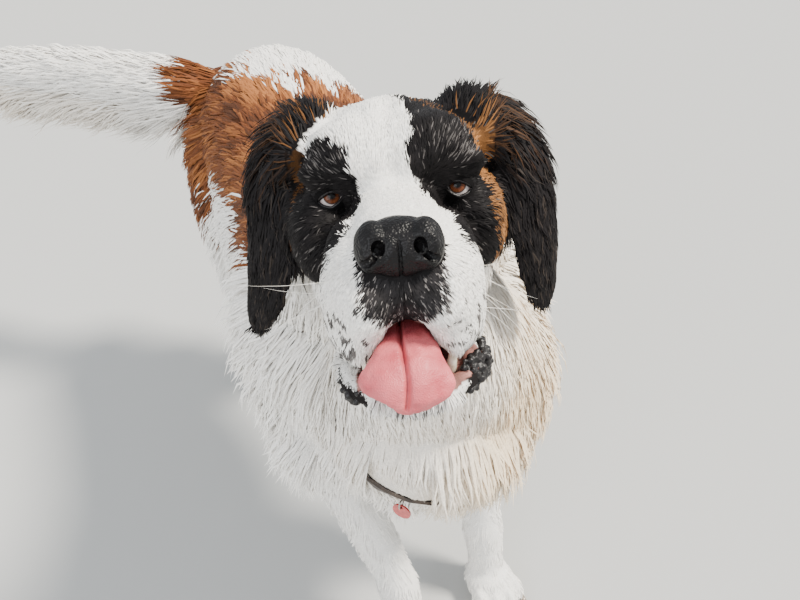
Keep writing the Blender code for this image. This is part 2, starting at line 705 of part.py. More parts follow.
def plant_coat(skins):
    # The ruff, in rows from the throat down to the forechest
    rows = 7
    for j in range(rows):
        t = j / (rows - 1)
        middle = Vector((-0.035, -0.335, 0.765)).lerp(Vector((0.010, -0.270, 0.415)), t)
        count = 7 + round(2 * math.sin(math.pi * min(1.0, t * 1.25)))
        low_end, high_end = math.radians(-88 + 12 * t), math.radians(104 - 20 * t)
        for k in range(count):
            a = low_end + (high_end - low_end) * (k + 0.5 * (j % 2)) / (count - 0.5)
            a -= math.radians(14 * (1 - t))
            side = math.sin(a)
            away = (side, -math.cos(a), -0.25 * t)
            plant(skins, {"neck", "torso"}, middle, away, (0.22 * side, -0.10, -1),
                  0.110 if t > 0.1 else 0.085, 0.050, lift=0.56)
    # The belly
    for k in range(6):
        for s in (1, -1):
            y = -0.12 + 0.05 * k
            plant(skins, {"torso"}, (0.0, y, 0.55), (s * 0.42, 0, -1), (0.1 * s, 0.8, -0.7), 0.075, 0.046,
                  lift=0.75)
    for side_name, s in SIDES.items():
        # The feathering behind each foreleg
        for k in range(6):
            t = k / 5
            high, low = Vector(FORELEG[s][1][:3]), Vector(FORELEG[s][3][:3])
            middle = (high + Vector((0, 0, 0.03))).lerp(low, t)
            plant(skins, {"foreleg_" + side_name}, middle, (0.3 * (k % 2 - 0.5), 1, 0),
                  (0, 0.5, -1), 0.060 - 0.022 * t, 0.026 - 0.006 * t, thick=0.009, lift=0.8)
        # The britches behind each thigh
        for k in range(9):
            t = (k // 3) / 2
            middle = Vector(hindleg(s)[1][:3]).lerp(Vector(hindleg(s)[3][:3]), t)
            a = (k % 3 - 1) * 0.6
            plant(skins, {"thigh_" + side_name, "torso"}, middle, (math.sin(a), math.cos(a), 0),
                  (0, 0.35, -1), 0.095 - 0.03 * t, 0.040 - 0.008 * t, lift=0.65)


def plant_tail(skins):
    path = smooth_path(TAIL, 4)
    rounds = 7
    for j in range(rounds):
        t = (j + 0.5) / rounds
        i = 2 + round(t * (len(path) - 4))
        tangent, width, height = frame_at(path, i, Vector((0.6, -0.8, 0)))
        middle = Vector(path[i][:3])
        count = 6
        for k in range(count):
            a = 2 * math.pi * (k + 0.5 * (j % 2)) / count
            away = width * math.cos(a) + height * math.sin(a)
            below = max(0.0, -away.z)
            length = 0.105 + 0.035 * below - 0.02 * t
            lie = tangent + Vector((0, 0, -0.55 * below))
            plant(skins, {"tail_base", "tail_plume"}, middle, away, lie, length, 0.042,
                  lift=0.62 + 0.40 * below, sag=0.10 * below)


def tree_of(obj):
    return BVHTree.FromPolygons([v.co for v in obj.data.vertices], [p.vertices[:] for p in obj.data.polygons])


def without_fins(obj, weld=0.0):
    """Takes away the flat leftovers of a collapse: faces on one edge only, and pairs of one face."""
    bm = bmesh.new()
    bm.from_mesh(obj.data)
    if weld:
        bmesh.ops.triangulate(bm, faces=bm.faces[:])
        bmesh.ops.remove_doubles(bm, verts=bm.verts[:], dist=weld)
    while True:
        seen = {}
        for face in bm.faces:
            seen.setdefault(frozenset(v.index for v in face.verts), []).append(face)
        extra = {face for pair in seen.values() if len(pair) > 1 for face in pair}
        extra |= {face for face in bm.faces if sum(len(e.link_faces) == 1 for e in face.edges) > 1}
        if not extra:
            break
        bmesh.ops.delete(bm, geom=list(extra), context="FACES")
        bm.verts.index_update()
    closed = all(e.is_manifold and e.is_contiguous for e in bm.edges) and all(v.is_manifold for v in bm.verts)
    bm.to_mesh(obj.data)
    bm.free()
    return closed


def thinned(obj, faces, neighbours):
    """Drops the slivers that unions leave, down to about that many faces, but moves none by a neighbour."""
    trees = [tree_of(other) for other in neighbours]
    keep_largest(obj)
    full = obj.data.copy()
    for more in (1.0, 1.08, 1.18, 1.3, 1.45):
        free = obj.vertex_groups.new(name="free")
        for v in obj.data.vertices:
            near = any(tree.find_nearest(v.co, 0.014)[0] for tree in trees)
            free.add([v.index], 0.0 if near else 1.0, "REPLACE")
        reduce = obj.modifiers.new("Decimate", "DECIMATE")
        reduce.use_collapse_triangulate = True
        reduce.vertex_group = "free"
        reduce.ratio = min(1.0, faces * more / tris(obj))
        applied(obj)
        obj.vertex_groups.clear()
        if without_fins(obj):
            break
        obj.data = full.copy()
    return keep_largest(obj)


def tris(obj):
    return sum(len(p.vertices) - 2 for p in obj.data.polygons)


def meets(one, other):
    return bool(tree_of(one).overlap(tree_of(other)))


def cleared(obj, objects, grow):
    """Cuts obj clear of each other node that it meets."""
    for other in objects.values():
        grown = swollen(other, grow)
        if meets(obj, grown):
            boolean(obj, "DIFFERENCE", [grown])
        else:
            bpy.data.objects.remove(grown, do_unlink=True)


def grow_locks(objects):
    """Fuses each node's locks into it, first cut clear of whatever they would cross."""
    carriers = [name for name in ORDER if name in locks]
    whole = {}
    for name in carriers:
        group = locks[name]
        whole[name] = tris(objects[name]) + LOCK_FACES * len(group)
        bundle = group.pop()
        boolean(bundle, "UNION", group)
        cleared(bundle, {other: objects[other] for other in ORDER if other != name}, GAP)
        boolean(objects[name], "UNION", [bundle])
    for name in carriers:
        thinned(objects[name], whole[name], [objects[other] for other in ORDER if other != name])
    for name in carriers:
        touched = [other for other in ORDER if other != name and meets(objects[name], objects[other])]
        if touched:
            cleared(objects[name], {other: objects[other] for other in touched}, GAP / 2)
            without_fins(objects[name], GAP / 3)
            keep_largest(objects[name])


clear_scene()
locks = {}
dog = make_collection("saint_bernard")
helpers = make_collection("helpers", shown=False)
random.seed(7)

parts, collar = make_body()
head = to_head(make_head())
jaw = to_head(make_jaw())
tongue = to_head(make_tongue())
nose = to_head(make_nose())
ears = {name: to_head(make_ear("ear_" + name, s)) for name, s in SIDES.items()}
boolean(nose, "DIFFERENCE", [swollen(head)])
keep_largest(nose)
boolean(tongue, "DIFFERENCE", [swollen(head)])
keep_largest(tongue)
boolean(jaw, "DIFFERENCE", [swollen(head)])
boolean(jaw, "DIFFERENCE", [swollen(tongue)])
keep_largest(jaw)
for ear in ears.values():
    boolean(ear, "DIFFERENCE", [swollen(head)])
    keep_largest(ear)
neck = parts["neck"]
for other in (head, jaw, *ears.values()):
    boolean(neck, "DIFFERENCE", [swollen(other)])
keep_largest(neck)
for side_name, s in SIDES.items():
    eye = ball(eye_centre(s), EYE_RADIUS)
    eye.name = "eye_" + side_name
    helpers.objects.unlink(eye)
    dog.objects.link(eye)
    to_head(eye)
    paw = make_paw("forepaw_" + side_name, FORELEG[s], FOREPAW[s], 1.0, dog)
    paw = make_paw("hindpaw_" + side_name, hindleg(s), hindpaw_centre(s), 0.92, dog)
parts.update(make_tail(parts["torso"]))
make_tag(collar)
for obj in dog.objects:
    parts[obj.name] = obj
skins = {name: tree_of(obj) for name, obj in parts.items()}
plant_coat(skins)
tail_skins = {name: skins[name] for name in ("tail_base", "tail_plume")}
plant_tail(tail_skins)
grow_locks(parts)
SLOTS = {"eye": "eye", "nose": "nose", "tongue": "tongue", "collar": "leather", "tag": "tag",
         "tag_ring": "metal", "ear": "black", "torso": "brown", "tail_base": "brown", "thigh": "brown"}
for obj in dog.objects:
    slot = SLOTS.get(obj.name) or SLOTS.get(obj.name.split("_")[0], "coat")
    obj.data.materials.clear()
    obj.data.materials.append(material(slot))
bpy.context.view_layer.update()
corners = [obj.matrix_world @ v.co for obj in dog.objects for v in obj.data.vertices]
low = Vector(min(c[k] for c in corners) for k in range(3))
high = Vector(max(c[k] for c in corners) for k in range(3))
shift = Vector((-(low.x + high.x) / 2, -(low.y + high.y) / 2, -low.z))
for obj in dog.objects:
    obj.data.transform(Matrix.Translation(shift))
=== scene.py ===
"""The looks of the Saint Bernard: one skin, a coat of mesh tufts, eyes, nose, tongue, claws and collar.

Shapes are worked out in the dog's own axes, as in the part: -Y ahead, +X its left, +Z up, in metres.
"""
import json
import math

import bmesh
import bpy
import numpy as np
from mathutils import Matrix, Vector
from mathutils.bvhtree import BVHTree
from mathutils.kdtree import KDTree

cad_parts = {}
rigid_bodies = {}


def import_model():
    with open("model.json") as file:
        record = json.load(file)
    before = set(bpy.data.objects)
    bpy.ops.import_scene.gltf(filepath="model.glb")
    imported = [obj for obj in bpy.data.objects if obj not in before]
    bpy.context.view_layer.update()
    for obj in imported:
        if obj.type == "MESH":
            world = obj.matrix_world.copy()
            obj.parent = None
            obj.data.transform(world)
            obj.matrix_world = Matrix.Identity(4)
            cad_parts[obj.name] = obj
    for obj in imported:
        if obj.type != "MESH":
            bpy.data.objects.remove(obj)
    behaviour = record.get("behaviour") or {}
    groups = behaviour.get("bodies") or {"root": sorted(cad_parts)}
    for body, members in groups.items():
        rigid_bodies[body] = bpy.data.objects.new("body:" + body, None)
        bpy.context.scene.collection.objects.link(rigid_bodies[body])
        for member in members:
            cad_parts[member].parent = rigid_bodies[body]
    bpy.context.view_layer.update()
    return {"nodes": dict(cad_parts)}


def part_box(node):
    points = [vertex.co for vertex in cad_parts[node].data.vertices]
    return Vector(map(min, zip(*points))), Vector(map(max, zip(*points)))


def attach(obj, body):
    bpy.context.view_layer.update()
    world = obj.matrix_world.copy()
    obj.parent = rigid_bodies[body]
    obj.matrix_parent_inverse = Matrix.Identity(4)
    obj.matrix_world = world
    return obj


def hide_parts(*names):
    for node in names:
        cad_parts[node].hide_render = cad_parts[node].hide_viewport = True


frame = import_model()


def metres(rows):
    """Rows of numbers that are written in millimetres."""
    return [tuple(round(value / 1000, 7) for value in row) for row in rows]


def sided(rows, s):
    """Rows that start with the left side's x, for the side s: 1 is the left, -1 the right."""
    return [(s * x, *rest) for x, *rest in rows]


def spots(rows, signs=(1, -1), units=(1, 1, 1), turned=False):
    """Samples (x, y, z, radius, values) from rows in millimetres; turned values are mirrored with it."""
    samples = []
    for *place, values in rows:
        [(x, y, z, radius)] = metres([place])
        first, *rest = (round(value * unit, 7) for value, unit in zip(values, units))
        for sign in signs:
            samples.append((sign * x, y, z, radius, (sign * first if turned else first, *rest)))
    return samples


# Driving dimensions, the same as the part's

EYE_MID = Vector((-0.074, -0.456, 0.907))
HEAD_YAW = math.radians(-21.6)
HEAD_PITCH = math.radians(-31.0)
HEAD_ROLL = math.radians(-2.5)
EYE_RADIUS = 0.0125
EYE_X = 0.051
EYE_Y = 0.004
STRAP_SEEN = metres(((-98, -415, 515), (-80, -445, 470), (-55, -468, 440)))
REAR_SWING = math.radians(5.0)
REAR_PIVOT = Vector((0.0, 0.05, 0.0))
SIDES = {"left": 1, "right": -1}

# Stations of the limbs, in millimetres: x, y, z, half width and half height
TRUNK = metres([
    (-10, -375, 545, 115, 120), (0, -290, 560, 165, 185), (0, -190, 565, 180, 200),
    (4, -60, 555, 182, 192), (6, 80, 575, 170, 166), (6, 200, 600, 150, 150), (0, 300, 608, 138, 140),
    (-30, 380, 600, 95, 100)])
NECK = metres([
    (0, -215, 640, 135, 120), (-15, -285, 735, 120, 115), (-30, -335, 815, 100, 100),
    (-40, -375, 860, 80, 80)])
THROAT = metres([
    (-50, -400, 790, 70, 70), (-20, -392, 690, 100, 92), (8, -365, 580, 130, 100), (10, -350, 490, 122, 95)])
FORELEG = {
    1: metres([
        (125, -255, 470, 62, 85), (128, -235, 385, 50, 62), (120, -270, 270, 41, 46),
        (115, -298, 170, 35, 39), (114, -308, 135, 38, 40), (113, -322, 85, 34, 36),
        (112, -330, 50, 34, 36)]),
    -1: metres([
        (-125, -255, 470, 62, 85), (-112, -245, 385, 50, 62), (-85, -295, 270, 41, 46),
        (-62, -336, 170, 35, 39), (-56, -348, 135, 38, 40), (-53, -363, 85, 34, 36),
        (-51, -371, 50, 34, 36)]),
}
FOREPAW = {1: Vector((0.111, -0.345, 0.031)), -1: Vector((-0.049, -0.388, 0.031))}
HINDPAW = (0.078, 0.318, 0.029)
HINDLEG = metres([
    (70, 285, 600, 72, 100), (85, 275, 500, 70, 112), (96, 240, 400, 56, 83), (94, 290, 300, 41, 54),
    (82, 358, 205, 30, 39), (79, 356, 120, 28, 32), (78, 346, 65, 30, 33), (78, 338, 45, 30, 33)])
EAR = metres([
    (46, 60, 50, 32, 16), (78, 66, 60, 42, 14), (114, 78, 26, 49, 10), (126, 88, -30, 47, 8),
    (131, 100, -75, 39, 7), (135, 111, -105, 26, 6), (137, 117, -122, 12, 4)])
EAR_SPILL = {1: (0,) * 7, -1: (0, 0.003, 0.009, 0.008, 0.001, -0.006, -0.009)}
SNOUT = metres([(0, 10, -12, 40, 28), (0, -50, -24, 36, 26), (0, -112, -34, 33, 23)])
FLEW = metres([(38, -10, -60, 24, 50), (37, -60, -72, 25, 56), (26, -104, -62, 24, 38)])
TONGUE = metres([
    (-1, -20, -96, 20, 6.5), (-1, -70, -102, 21, 6.5), (-1, -100, -107, 22, 6), (-2, -113, -116, 29, 6),
    (-3, -119, -125, 33, 5.5), (-4, -121, -134, 30, 5), (-5, -121, -140.5, 20, 4.5), (-6, -120, -144, 9, 4)])
NOSTRIL = metres([
    (13, -152, -32, 4.6, 5.6), (14, -134, -34, 4.6, 5.6), (18.5, -134, -40, 4, 4.2),
    (25.5, -134, -43.5, 3.4, 3.2), (34, -131, -45, 2.4, 2.4)])
TOOTH = metres([(30, -72, -131, 4.2, 4.2), (31.5, -78, -121, 3.4, 3.4), (32, -81, -112, 1.2, 1.2)])
TAIL = metres([
    (-60, 395, 640, 45, 45), (-130, 432, 646, 40, 42), (-215, 500, 650, 36, 40), (-310, 588, 648, 33, 38),
    (-405, 668, 642, 28, 32), (-475, 725, 640, 16, 18)])

# Ellipsoids, in millimetres: x, y, z and the three radii
SKULL = metres([(0, 75, 18, 87, 95, 67), (0, 30, 19, 66, 60, 49)])
MUZZLE = metres([(0, -62, -55, 50, 66, 44), (0, 60, -55, 62, 75, 50)])
CHEEK = metres([(30, 30, 26, 46, 60, 42), (48, -2, 19, 30, 22, 13), (62, 45, -28, 34, 62, 50),
                (52, 75, -60, 34, 50, 45)])
LIP_AND_EAR_ROOT = metres([(36, -88, -90, 17, 21, 29), (80, 36, 40, 20, 22, 22)])
CHEST = metres([(12, -332, 500, 150, 90, 125), (5, -340, 430, 105, 75, 62)])
SHOULDER = metres([(125, -215, 535, 65, 100, 160)])
SHOULDER_TURN = (math.radians(-12), 0, 0)
NOSE_BALL = metres([(0, -120, -34, 29, 16.5, 20.5)])
NOSE_WING = metres([(17, -125, -33, 13, 13, 18)])


def clear_default_objects():
    for name in ("Cube", "Light", "Camera"):
        if name in bpy.data.objects:
            bpy.data.objects.remove(bpy.data.objects[name], do_unlink=True)


def link(name, data):
    """An object of the data, in the scene."""
    obj = bpy.data.objects.new(name, data)
    bpy.context.scene.collection.objects.link(obj)
    return obj


def mesh_from(bm, name):
    mesh = bpy.data.meshes.new(name)
    bm.to_mesh(mesh)
    bm.free()
    return mesh


def applied(obj):
    """Replaces the object's mesh with its evaluated one, modifiers and all."""
    bpy.context.view_layer.update()
    graph = bpy.context.evaluated_depsgraph_get()
    mesh = bpy.data.meshes.new_from_object(obj.evaluated_get(graph))
    obj.modifiers.clear()
    obj.data = mesh
    return obj


def made(name, *builds):
    """One mesh object from functions that each fill a bmesh, or pairs of one and its matrix."""
    whole = bmesh.new()
    for build in builds:
        build, matrix = build if isinstance(build, tuple) else (build, Matrix())
        bm = bmesh.new()
        build(bm)
        bmesh.ops.recalc_face_normals(bm, faces=bm.faces)
        bm.transform(matrix)
        mesh = mesh_from(bm, name)
        whole.from_mesh(mesh)
        bpy.data.meshes.remove(mesh)
    return link(name, mesh_from(whole, name))


def smoothed(obj, times, group=""):
    smooth = obj.modifiers.new("Smooth", "SMOOTH")
    smooth.factor = 0.5
    smooth.iterations = times
    smooth.vertex_group = group
    return applied(obj)


def remeshed(obj, voxel, smoothing):
    """Overlapping closed forms made into one smooth surface."""
    remesh = obj.modifiers.new("Remesh", "REMESH")
    remesh.mode = "VOXEL"
    remesh.voxel_size = voxel
    return smoothed(obj, smoothing)


def boolean(obj, operation, others):
    """Joins or cuts obj with closed mesh objects, which are then removed."""
    group = bpy.data.collections.new("operands")
    for other in others:
        group.objects.link(other)
    modifier = obj.modifiers.new("Boolean", "BOOLEAN")
    modifier.operand_type = "COLLECTION"
    modifier.collection = group
    modifier.operation = operation
    modifier.solver = "MANIFOLD"
    applied(obj)
    for other in list(group.objects):
        bpy.data.objects.remove(other, do_unlink=True)
    bpy.data.collections.remove(group)
    return obj


# Numbers of a mesh

def read(items, name, width, kind=np.float32):
    """A vector of each item, as rows."""
    flat = np.empty(len(items) * width, kind)
    items.foreach_get(name, flat)
    return flat.reshape(-1, width)


def points_of(mesh):
    return read(mesh.vertices, "co", 3).astype(np.float64)


def set_points(mesh, points):
    mesh.vertices.foreach_set("co", points.astype(np.float32).ravel())
    mesh.update()


def normals_of(mesh):
    return read(mesh.vertex_normals, "vector", 3).astype(np.float64)


def pushed(mesh, amounts):
    """Moves each vertex along its normal."""
    set_points(mesh, points_of(mesh) + normals_of(mesh) * amounts[:, None])


def triangles_of(mesh):
    mesh.calc_loop_triangles()
    return read(mesh.loop_triangles, "vertices", 3, np.int32)


def tree_of(obj, offset=Vector()):
    """The object's faces, for finding the nearest point on them."""
    return BVHTree.FromPolygons([obj.matrix_world @ v.co - offset for v in obj.data.vertices],
                                [p.vertices[:] for p in obj.data.polygons])


def unit(vectors):
    return vectors / np.maximum(np.linalg.norm(vectors, axis=-1, keepdims=True), 1e-9)


def smoothstep(low, high, values):
    t = np.clip((values - low) / (high - low), 0, 1)
    return t * t * (3 - 2 * t)


def lattice(cells, seed):
    """A random number in 0 to 1 for each whole cell."""
    mixed = seed * 2654435761
    for axis, prime in enumerate((73856093, 19349663, 83492791)):
        mixed = mixed ^ (cells[:, axis] * prime)
    mixed = (mixed ^ (mixed >> 13)) * 1274126177
    return ((mixed ^ (mixed >> 16)) & 0xFFFF) / 65535.0


def noise(points, size, seed=0):
    """Smooth value noise of about that size, from 0 to 1."""
    scaled = points / size
    base = np.floor(scaled).astype(np.int64)
    part = scaled - base
    part = part * part * (3 - 2 * part)
    total = np.zeros(len(points))
    for corner in range(8):
        step = np.array([(corner >> k) & 1 for k in range(3)])
        weight = np.prod(np.where(step, part, 1 - part), axis=1)
        total += weight * lattice(base + step, seed)
    return total


# The head's own axes

head_matrix = (Matrix.Translation(EYE_MID) @ Matrix.Rotation(HEAD_YAW, 4, "Z")
               @ Matrix.Rotation(HEAD_PITCH, 4, "X") @ Matrix.Rotation(HEAD_ROLL, 4, "Y"))
HEAD_TURN = np.array(head_matrix.to_3x3())
HEAD_AT = np.array(EYE_MID)


def to_local(points):
    return (points - HEAD_AT) @ HEAD_TURN


def to_world(vectors):
    return vectors @ HEAD_TURN.T


def blend(points, samples):
    """The values of (x, y, z, radius, values) samples, blended by nearness."""
    gaps = np.stack([((points - (x, y, z)) ** 2).sum(axis=1) / radius ** 2 for x, y, z, radius, _ in samples],
                    axis=1)
    weights = np.exp(gaps.min(axis=1, keepdims=True) - gaps)
    values = np.array([sample[4] for sample in samples], dtype=float)
    return weights @ values / weights.sum(axis=1, keepdims=True)


# Paths that limbs, ears and the tail follow

def ear_stations(s):
    return [(s * (x - out), *rest) for (x, *rest), out in zip(EAR, EAR_SPILL[s])]


def ear_forms(s):
    width_axis = Vector((0.45 * s, 0.89, 0.0)).normalized()
    return lambda bm: limb(bm, ear_stations(s), side=width_axis, steps=4, cup=-0.5 * s)


def stretch(points, a, b):
    """How far along a straight stretch each point lies, 0 to 1, and its distance from it."""
    span = b - a
    t = np.clip(((points - a) @ span) / (span @ span), 0, 1)
    return t, np.linalg.norm(points - (a + t[:, None] * span), axis=1)


def line_gap(points, line):
    """The distance of each point to a line of straight stretches."""
    return np.min([stretch(points, a, b)[1] for a, b in zip(np.array(line), np.array(line)[1:])], axis=0)


def along(points, stations):
    """How far along a path each point is, 0 to 1, how many half widths off it, and the path's direction."""
    path = np.array([tuple(p) for p in smooth_path(stations, 4)])
    best = np.full(len(points), 1e9)
    share = np.zeros(len(points))
    off = np.zeros(len(points))
    direction = np.zeros((len(points), 3))
    for i in range(len(path) - 1):
        a, b = path[i, :3], path[i + 1, :3]
        t, gap = stretch(points, a, b)
        width = path[i, 3] * (1 - t) + path[i + 1, 3] * t
        near = gap < best
        best[near] = gap[near]
        share[near] = ((i + t) / (len(path) - 1))[near]
        off[near] = (gap / width)[near]
        direction[near] = (b - a) / np.linalg.norm(b - a)
    return share, off, direction


def on_ear(local, s):
    """Whether each point of the head's axes is on that ear, and where along it."""
    share, off, direction = along(local, ear_stations(s))
    inner = np.abs(local[:, 0]) > 0.086 + 0.10 * np.maximum(0, 0.02 - local[:, 2]).clip(0, 0.04)
    return (off < 1.3) & (share > 0.10) & inner & (s * local[:, 0] > 0), share, direction


# Primitive forms

CAPS = (0.55, 0.85)     # where a limb's end has its rings, as shares of its reach
POLE = 0.95             # and its tip


def smooth_path(stations, steps):
    """Stations (x, y, z, half width, half height) joined by a Catmull-Rom curve."""
    points = [Vector(s) for s in stations]
    padded = [points[0] * 2 - points[1]] + points + [points[-1] * 2 - points[-2]]
    path = []
    for i in range(1, len(padded) - 2):
        a, b, c, d = padded[i - 1:i + 3]
        for k in range(steps):
            t = k / steps
            path.append(0.5 * (2 * b + (c - a) * t + (2 * a - 5 * b + 4 * c - d) * t * t
                               + (3 * b - a - 3 * c + d) * t ** 3))
    return path + [points[-1]]


def frame_at(path, i, side):
    """Tangent, width axis and height axis of a path at its point i."""
    before, after = path[max(i - 1, 0)], path[min(i + 1, len(path) - 1)]
    tangent = (Vector(after[:3]) - Vector(before[:3])).normalized()
    width = (side - tangent * side.dot(tangent)).normalized()
    return tangent, width, tangent.cross(width)


def around(count):
    """Angles round a circle."""
    return [2 * math.pi * k / count for k in range(count)]


def bridge(bm, low, high):
    """Faces between two rings."""
    for k, (a, b) in enumerate(zip(low, high)):
        bm.faces.new((a, low[(k + 1) % len(low)], high[(k + 1) % len(low)], b))


def limb(bm, stations, side=(1, 0, 0), sides=20, steps=3, cup=0.0):
    """A closed tube of elliptic rings through the stations, with round ends; cup bends its section."""
    side = Vector(side)
    path = smooth_path(stations, steps)
    rings = []

    def ring(place, size=1.0):
        wide, tall = half_width * size, half_height * size
        corners = [(math.cos(a), math.sin(a)) for a in around(sides)]
        rings.append([bm.verts.new(place + width * across * wide
                                   + height * (up * tall + cup * (across * across - 0.5) * wide))
                      for across, up in corners])

    for i, station in enumerate(path):
        tangent, width, height = frame_at(path, i, side)
        centre, half_width, half_height = Vector(station[:3]), station[3], station[4]
        reach = min(half_width, half_height)
        if i == 0:
            pole = bm.verts.new(centre - tangent * reach * POLE)
            for share in reversed(CAPS):
                ring(centre - tangent * reach * share, math.sqrt(1 - share ** 2))
        ring(centre)
        if i == len(path) - 1:
            for share in CAPS:
                ring(centre + tangent * reach * share, math.sqrt(1 - share ** 2))
            far_pole = bm.verts.new(centre + tangent * reach * POLE)
    for low, high in zip(rings, rings[1:]):
        bridge(bm, low, high)
    for k in range(sides):
        j = (k + 1) % sides
        bm.faces.new((pole, rings[0][j], rings[0][k]))
        bm.faces.new((far_pole, rings[-1][k], rings[-1][j]))


def ellipsoid(bm, centre, radii, turn=(0, 0, 0), segments=20, rings=14):
    rotation = Matrix()
    for angle, axis in zip(reversed(turn), "ZYX"):
        rotation = rotation @ Matrix.Rotation(angle, 4, axis)
    matrix = Matrix.Translation(centre) @ rotation @ Matrix.Diagonal((*radii, 1))
    bmesh.ops.create_uvsphere(bm, u_segments=segments, v_segments=rings, radius=1, matrix=matrix)


def balls(bm, rows, **settings):
    for row in rows:
        ellipsoid(bm, row[:3], row[3:], **settings)


def head_forms(bm):
    balls(bm, SKULL)
    limb(bm, SNOUT)
    balls(bm, MUZZLE)
    for s in (1, -1):
        balls(bm, sided(CHEEK, s))
        limb(bm, sided(FLEW, s))


def rear(station):
    """Swings a station of the hindquarters about the loins."""
    point = Matrix.Rotation(REAR_SWING, 3, "Z") @ (Vector(station[:3]) - REAR_PIVOT) + REAR_PIVOT
    return (*point, *station[3:])


def hindleg(s):
    return [rear(station) for station in sided(HINDLEG, s)]


def body_forms(bm):
    limb(bm, TRUNK, sides=28)
    balls(bm, CHEST)
    limb(bm, NECK, sides=24)
    limb(bm, THROAT, sides=24)
    for s in (1, -1):
        balls(bm, sided(SHOULDER, s), turn=SHOULDER_TURN)
        limb(bm, FORELEG[s], sides=18)
        limb(bm, hindleg(s), sides=18)


# Markings, from where a point lies on the head or round the trunk

WHITE = np.array((0.92, 0.895, 0.85))
CREAM = np.array((0.86, 0.66, 0.41))
BROWN = np.array((0.155, 0.050, 0.018))
ORANGE = np.array((0.36, 0.135, 0.042))
DARK_BROWN = np.array((0.060, 0.026, 0.014))
TAN = np.array((0.31, 0.135, 0.046))
BLACK = np.array((0.0062, 0.0053, 0.0055))
GREY = np.array((0.115, 0.105, 0.10))
SKIN_PINK = np.array((0.42, 0.20, 0.17))
LIP = np.array((0.012, 0.010, 0.010))
SHEEN = np.array((0.032, 0.025, 0.021))     # the lit strands of the ears
SOOT = np.array((0.016, 0.0145, 0.015))     # the hair under the nose

# Outlines on the head, as (azimuth, elevation) in degrees about its middle
HEAD_MIDDLE = np.array((0, 0.06, -0.02))
MASK_RIGHT = [
    (-112, 44), (-72, 44), (-60, 35), (-46, 33), (-31, 36), (-21, 30), (-18, 17), (-18, 5), (-20, -6),
    (-25, -14), (-44, -27), (-70, -36), (-112, -30)]
MASK_LEFT = [
    (24, 84), (15, 56), (13, 42), (8, 28), (9, 21), (12, 12), (19, 7), (20, 0), (22, -7), (27, -13),
    (41, -22), (58, -32), (100, -34), (118, 10), (118, 60), (70, 84)]
TAN_LEFT = [
    (52, 72), (47, 40), (48, 30), (54, 15), (52, 1), (55, -12), (60, -26), (76, -42), (100, -46),
    (112, -20), (84, -8), (76, 8), (72, 26), (66, 48), (70, 72)]
TAN_RIGHT = [
    (-60, 60), (-58, 38), (-66, 20), (-68, 0), (-72, -20), (-84, -36), (-96, -20), (-80, 0), (-76, 20),
    (-70, 42), (-74, 62)]

# The saddle, as (y, degrees from straight up, the right side below zero) round the trunk
TRUNK_HEIGHT = 0.58
SADDLE = [
    (0.43, -66), (0.36, -44), (0.30, -15), (0.24, -26), (0.226, -14), (0.222, -6), (0.165, -3), (0.142, 1),
    (0.188, 9), (0.166, 16), (0.146, 24), (0.175, 40), (0.165, 62), (0.10, 76), (0.03, 80), (-0.06, 72),
    (-0.12, 52), (-0.15, 30), (-0.17, 8), (-0.185, -20), (-0.20, -48), (-0.15, -66), (-0.045, -67),
    (0.0, -65), (0.08, -70), (0.20, -84), (0.215, -104), (0.20, -140), (0.26, -150), (0.36, -118),
    (0.40, -92)]


def off_outline(chart, outline):
    """The signed distance of each chart point to an outline, negative inside."""
    corners = np.array([*outline, outline[0]], dtype=float)
    inside = np.zeros(len(chart), bool)
    for a, b in zip(corners, corners[1:]):
        rise = b[1] - a[1]
        crosses = (a[1] > chart[:, 1]) != (b[1] > chart[:, 1])
        at = a[0] + (chart[:, 1] - a[1]) / (rise if abs(rise) > 1e-9 else 1e-9) * (b - a)[0]
        inside ^= crosses & (chart[:, 0] < at)
    distance = line_gap(chart, corners)
    return np.where(inside, -distance, distance)


def head_chart(local):
    away = local - HEAD_MIDDLE
    return np.stack([np.degrees(np.arctan2(away[:, 0], -away[:, 1])),
                     np.degrees(np.arctan2(away[:, 2], np.hypot(away[:, 0], away[:, 1])))], axis=1)


def head_share(local):
    """True on the head, false from the neck on."""
    edge = local[:, 1] + 0.35 * np.maximum(0, -0.06 - local[:, 2])
    return (edge < 0.118) & (local[:, 2] > -0.19) & (np.abs(local[:, 0]) < 0.20)


def covered(chart, outline, torn, soft, ragged, dither):
    """Whether a mark covers each point: its outline is torn by noise, and its edge mixed by the dither."""
    distance = off_outline(chart, outline) + (torn - 0.5) * ragged
    return smoothstep(-soft, soft, -distance) > dither


def mix(colour, other, share):
    """The colour with a share of another in it; a mask lays the other over it."""
    return colour + (other - colour) * share[:, None]


def cream_share(points, broad):
    """How much cream the white has: most on the chest's left, some on the breeches and under the tail."""
    x, y, z = points.T
    cream = 1.5 * np.exp(-(((points - (0.05, -0.41, 0.58)) / (0.12, 0.14, 0.16)) ** 2).sum(axis=1))
    cream += 0.55 * smoothstep(0.25, 0.42, y) * smoothstep(0.62, 0.45, z)
    cream += 0.30 * smoothstep(-0.17, -0.30, x) * (y > 0.35) * (z < 0.64)
    return np.clip(cream * (0.30 + 0.7 * broad), 0, 0.80)


def in_saddle(points, torn, dither):
    """Whether a point has the brown of the saddle or of the tail's root."""
    x, y, z = points.T
    chart = np.stack([y * 300, np.degrees(np.arctan2(x, z - TRUNK_HEIGHT))], axis=1)
    saddle = covered(chart, [(y_edge * 300, angle) for y_edge, angle in SADDLE], torn, 5, 26, dither)
    saddle &= ~((z < 0.44 + 0.05 * torn) & (y > 0.1)) & (z > 0.36)
    share, off, _ = along(points, TAIL)
    return np.where((off < 3.0) & (share > 0.02), (share + 0.09 * (torn - 0.5) < 0.195) & (z > 0.615), saddle)


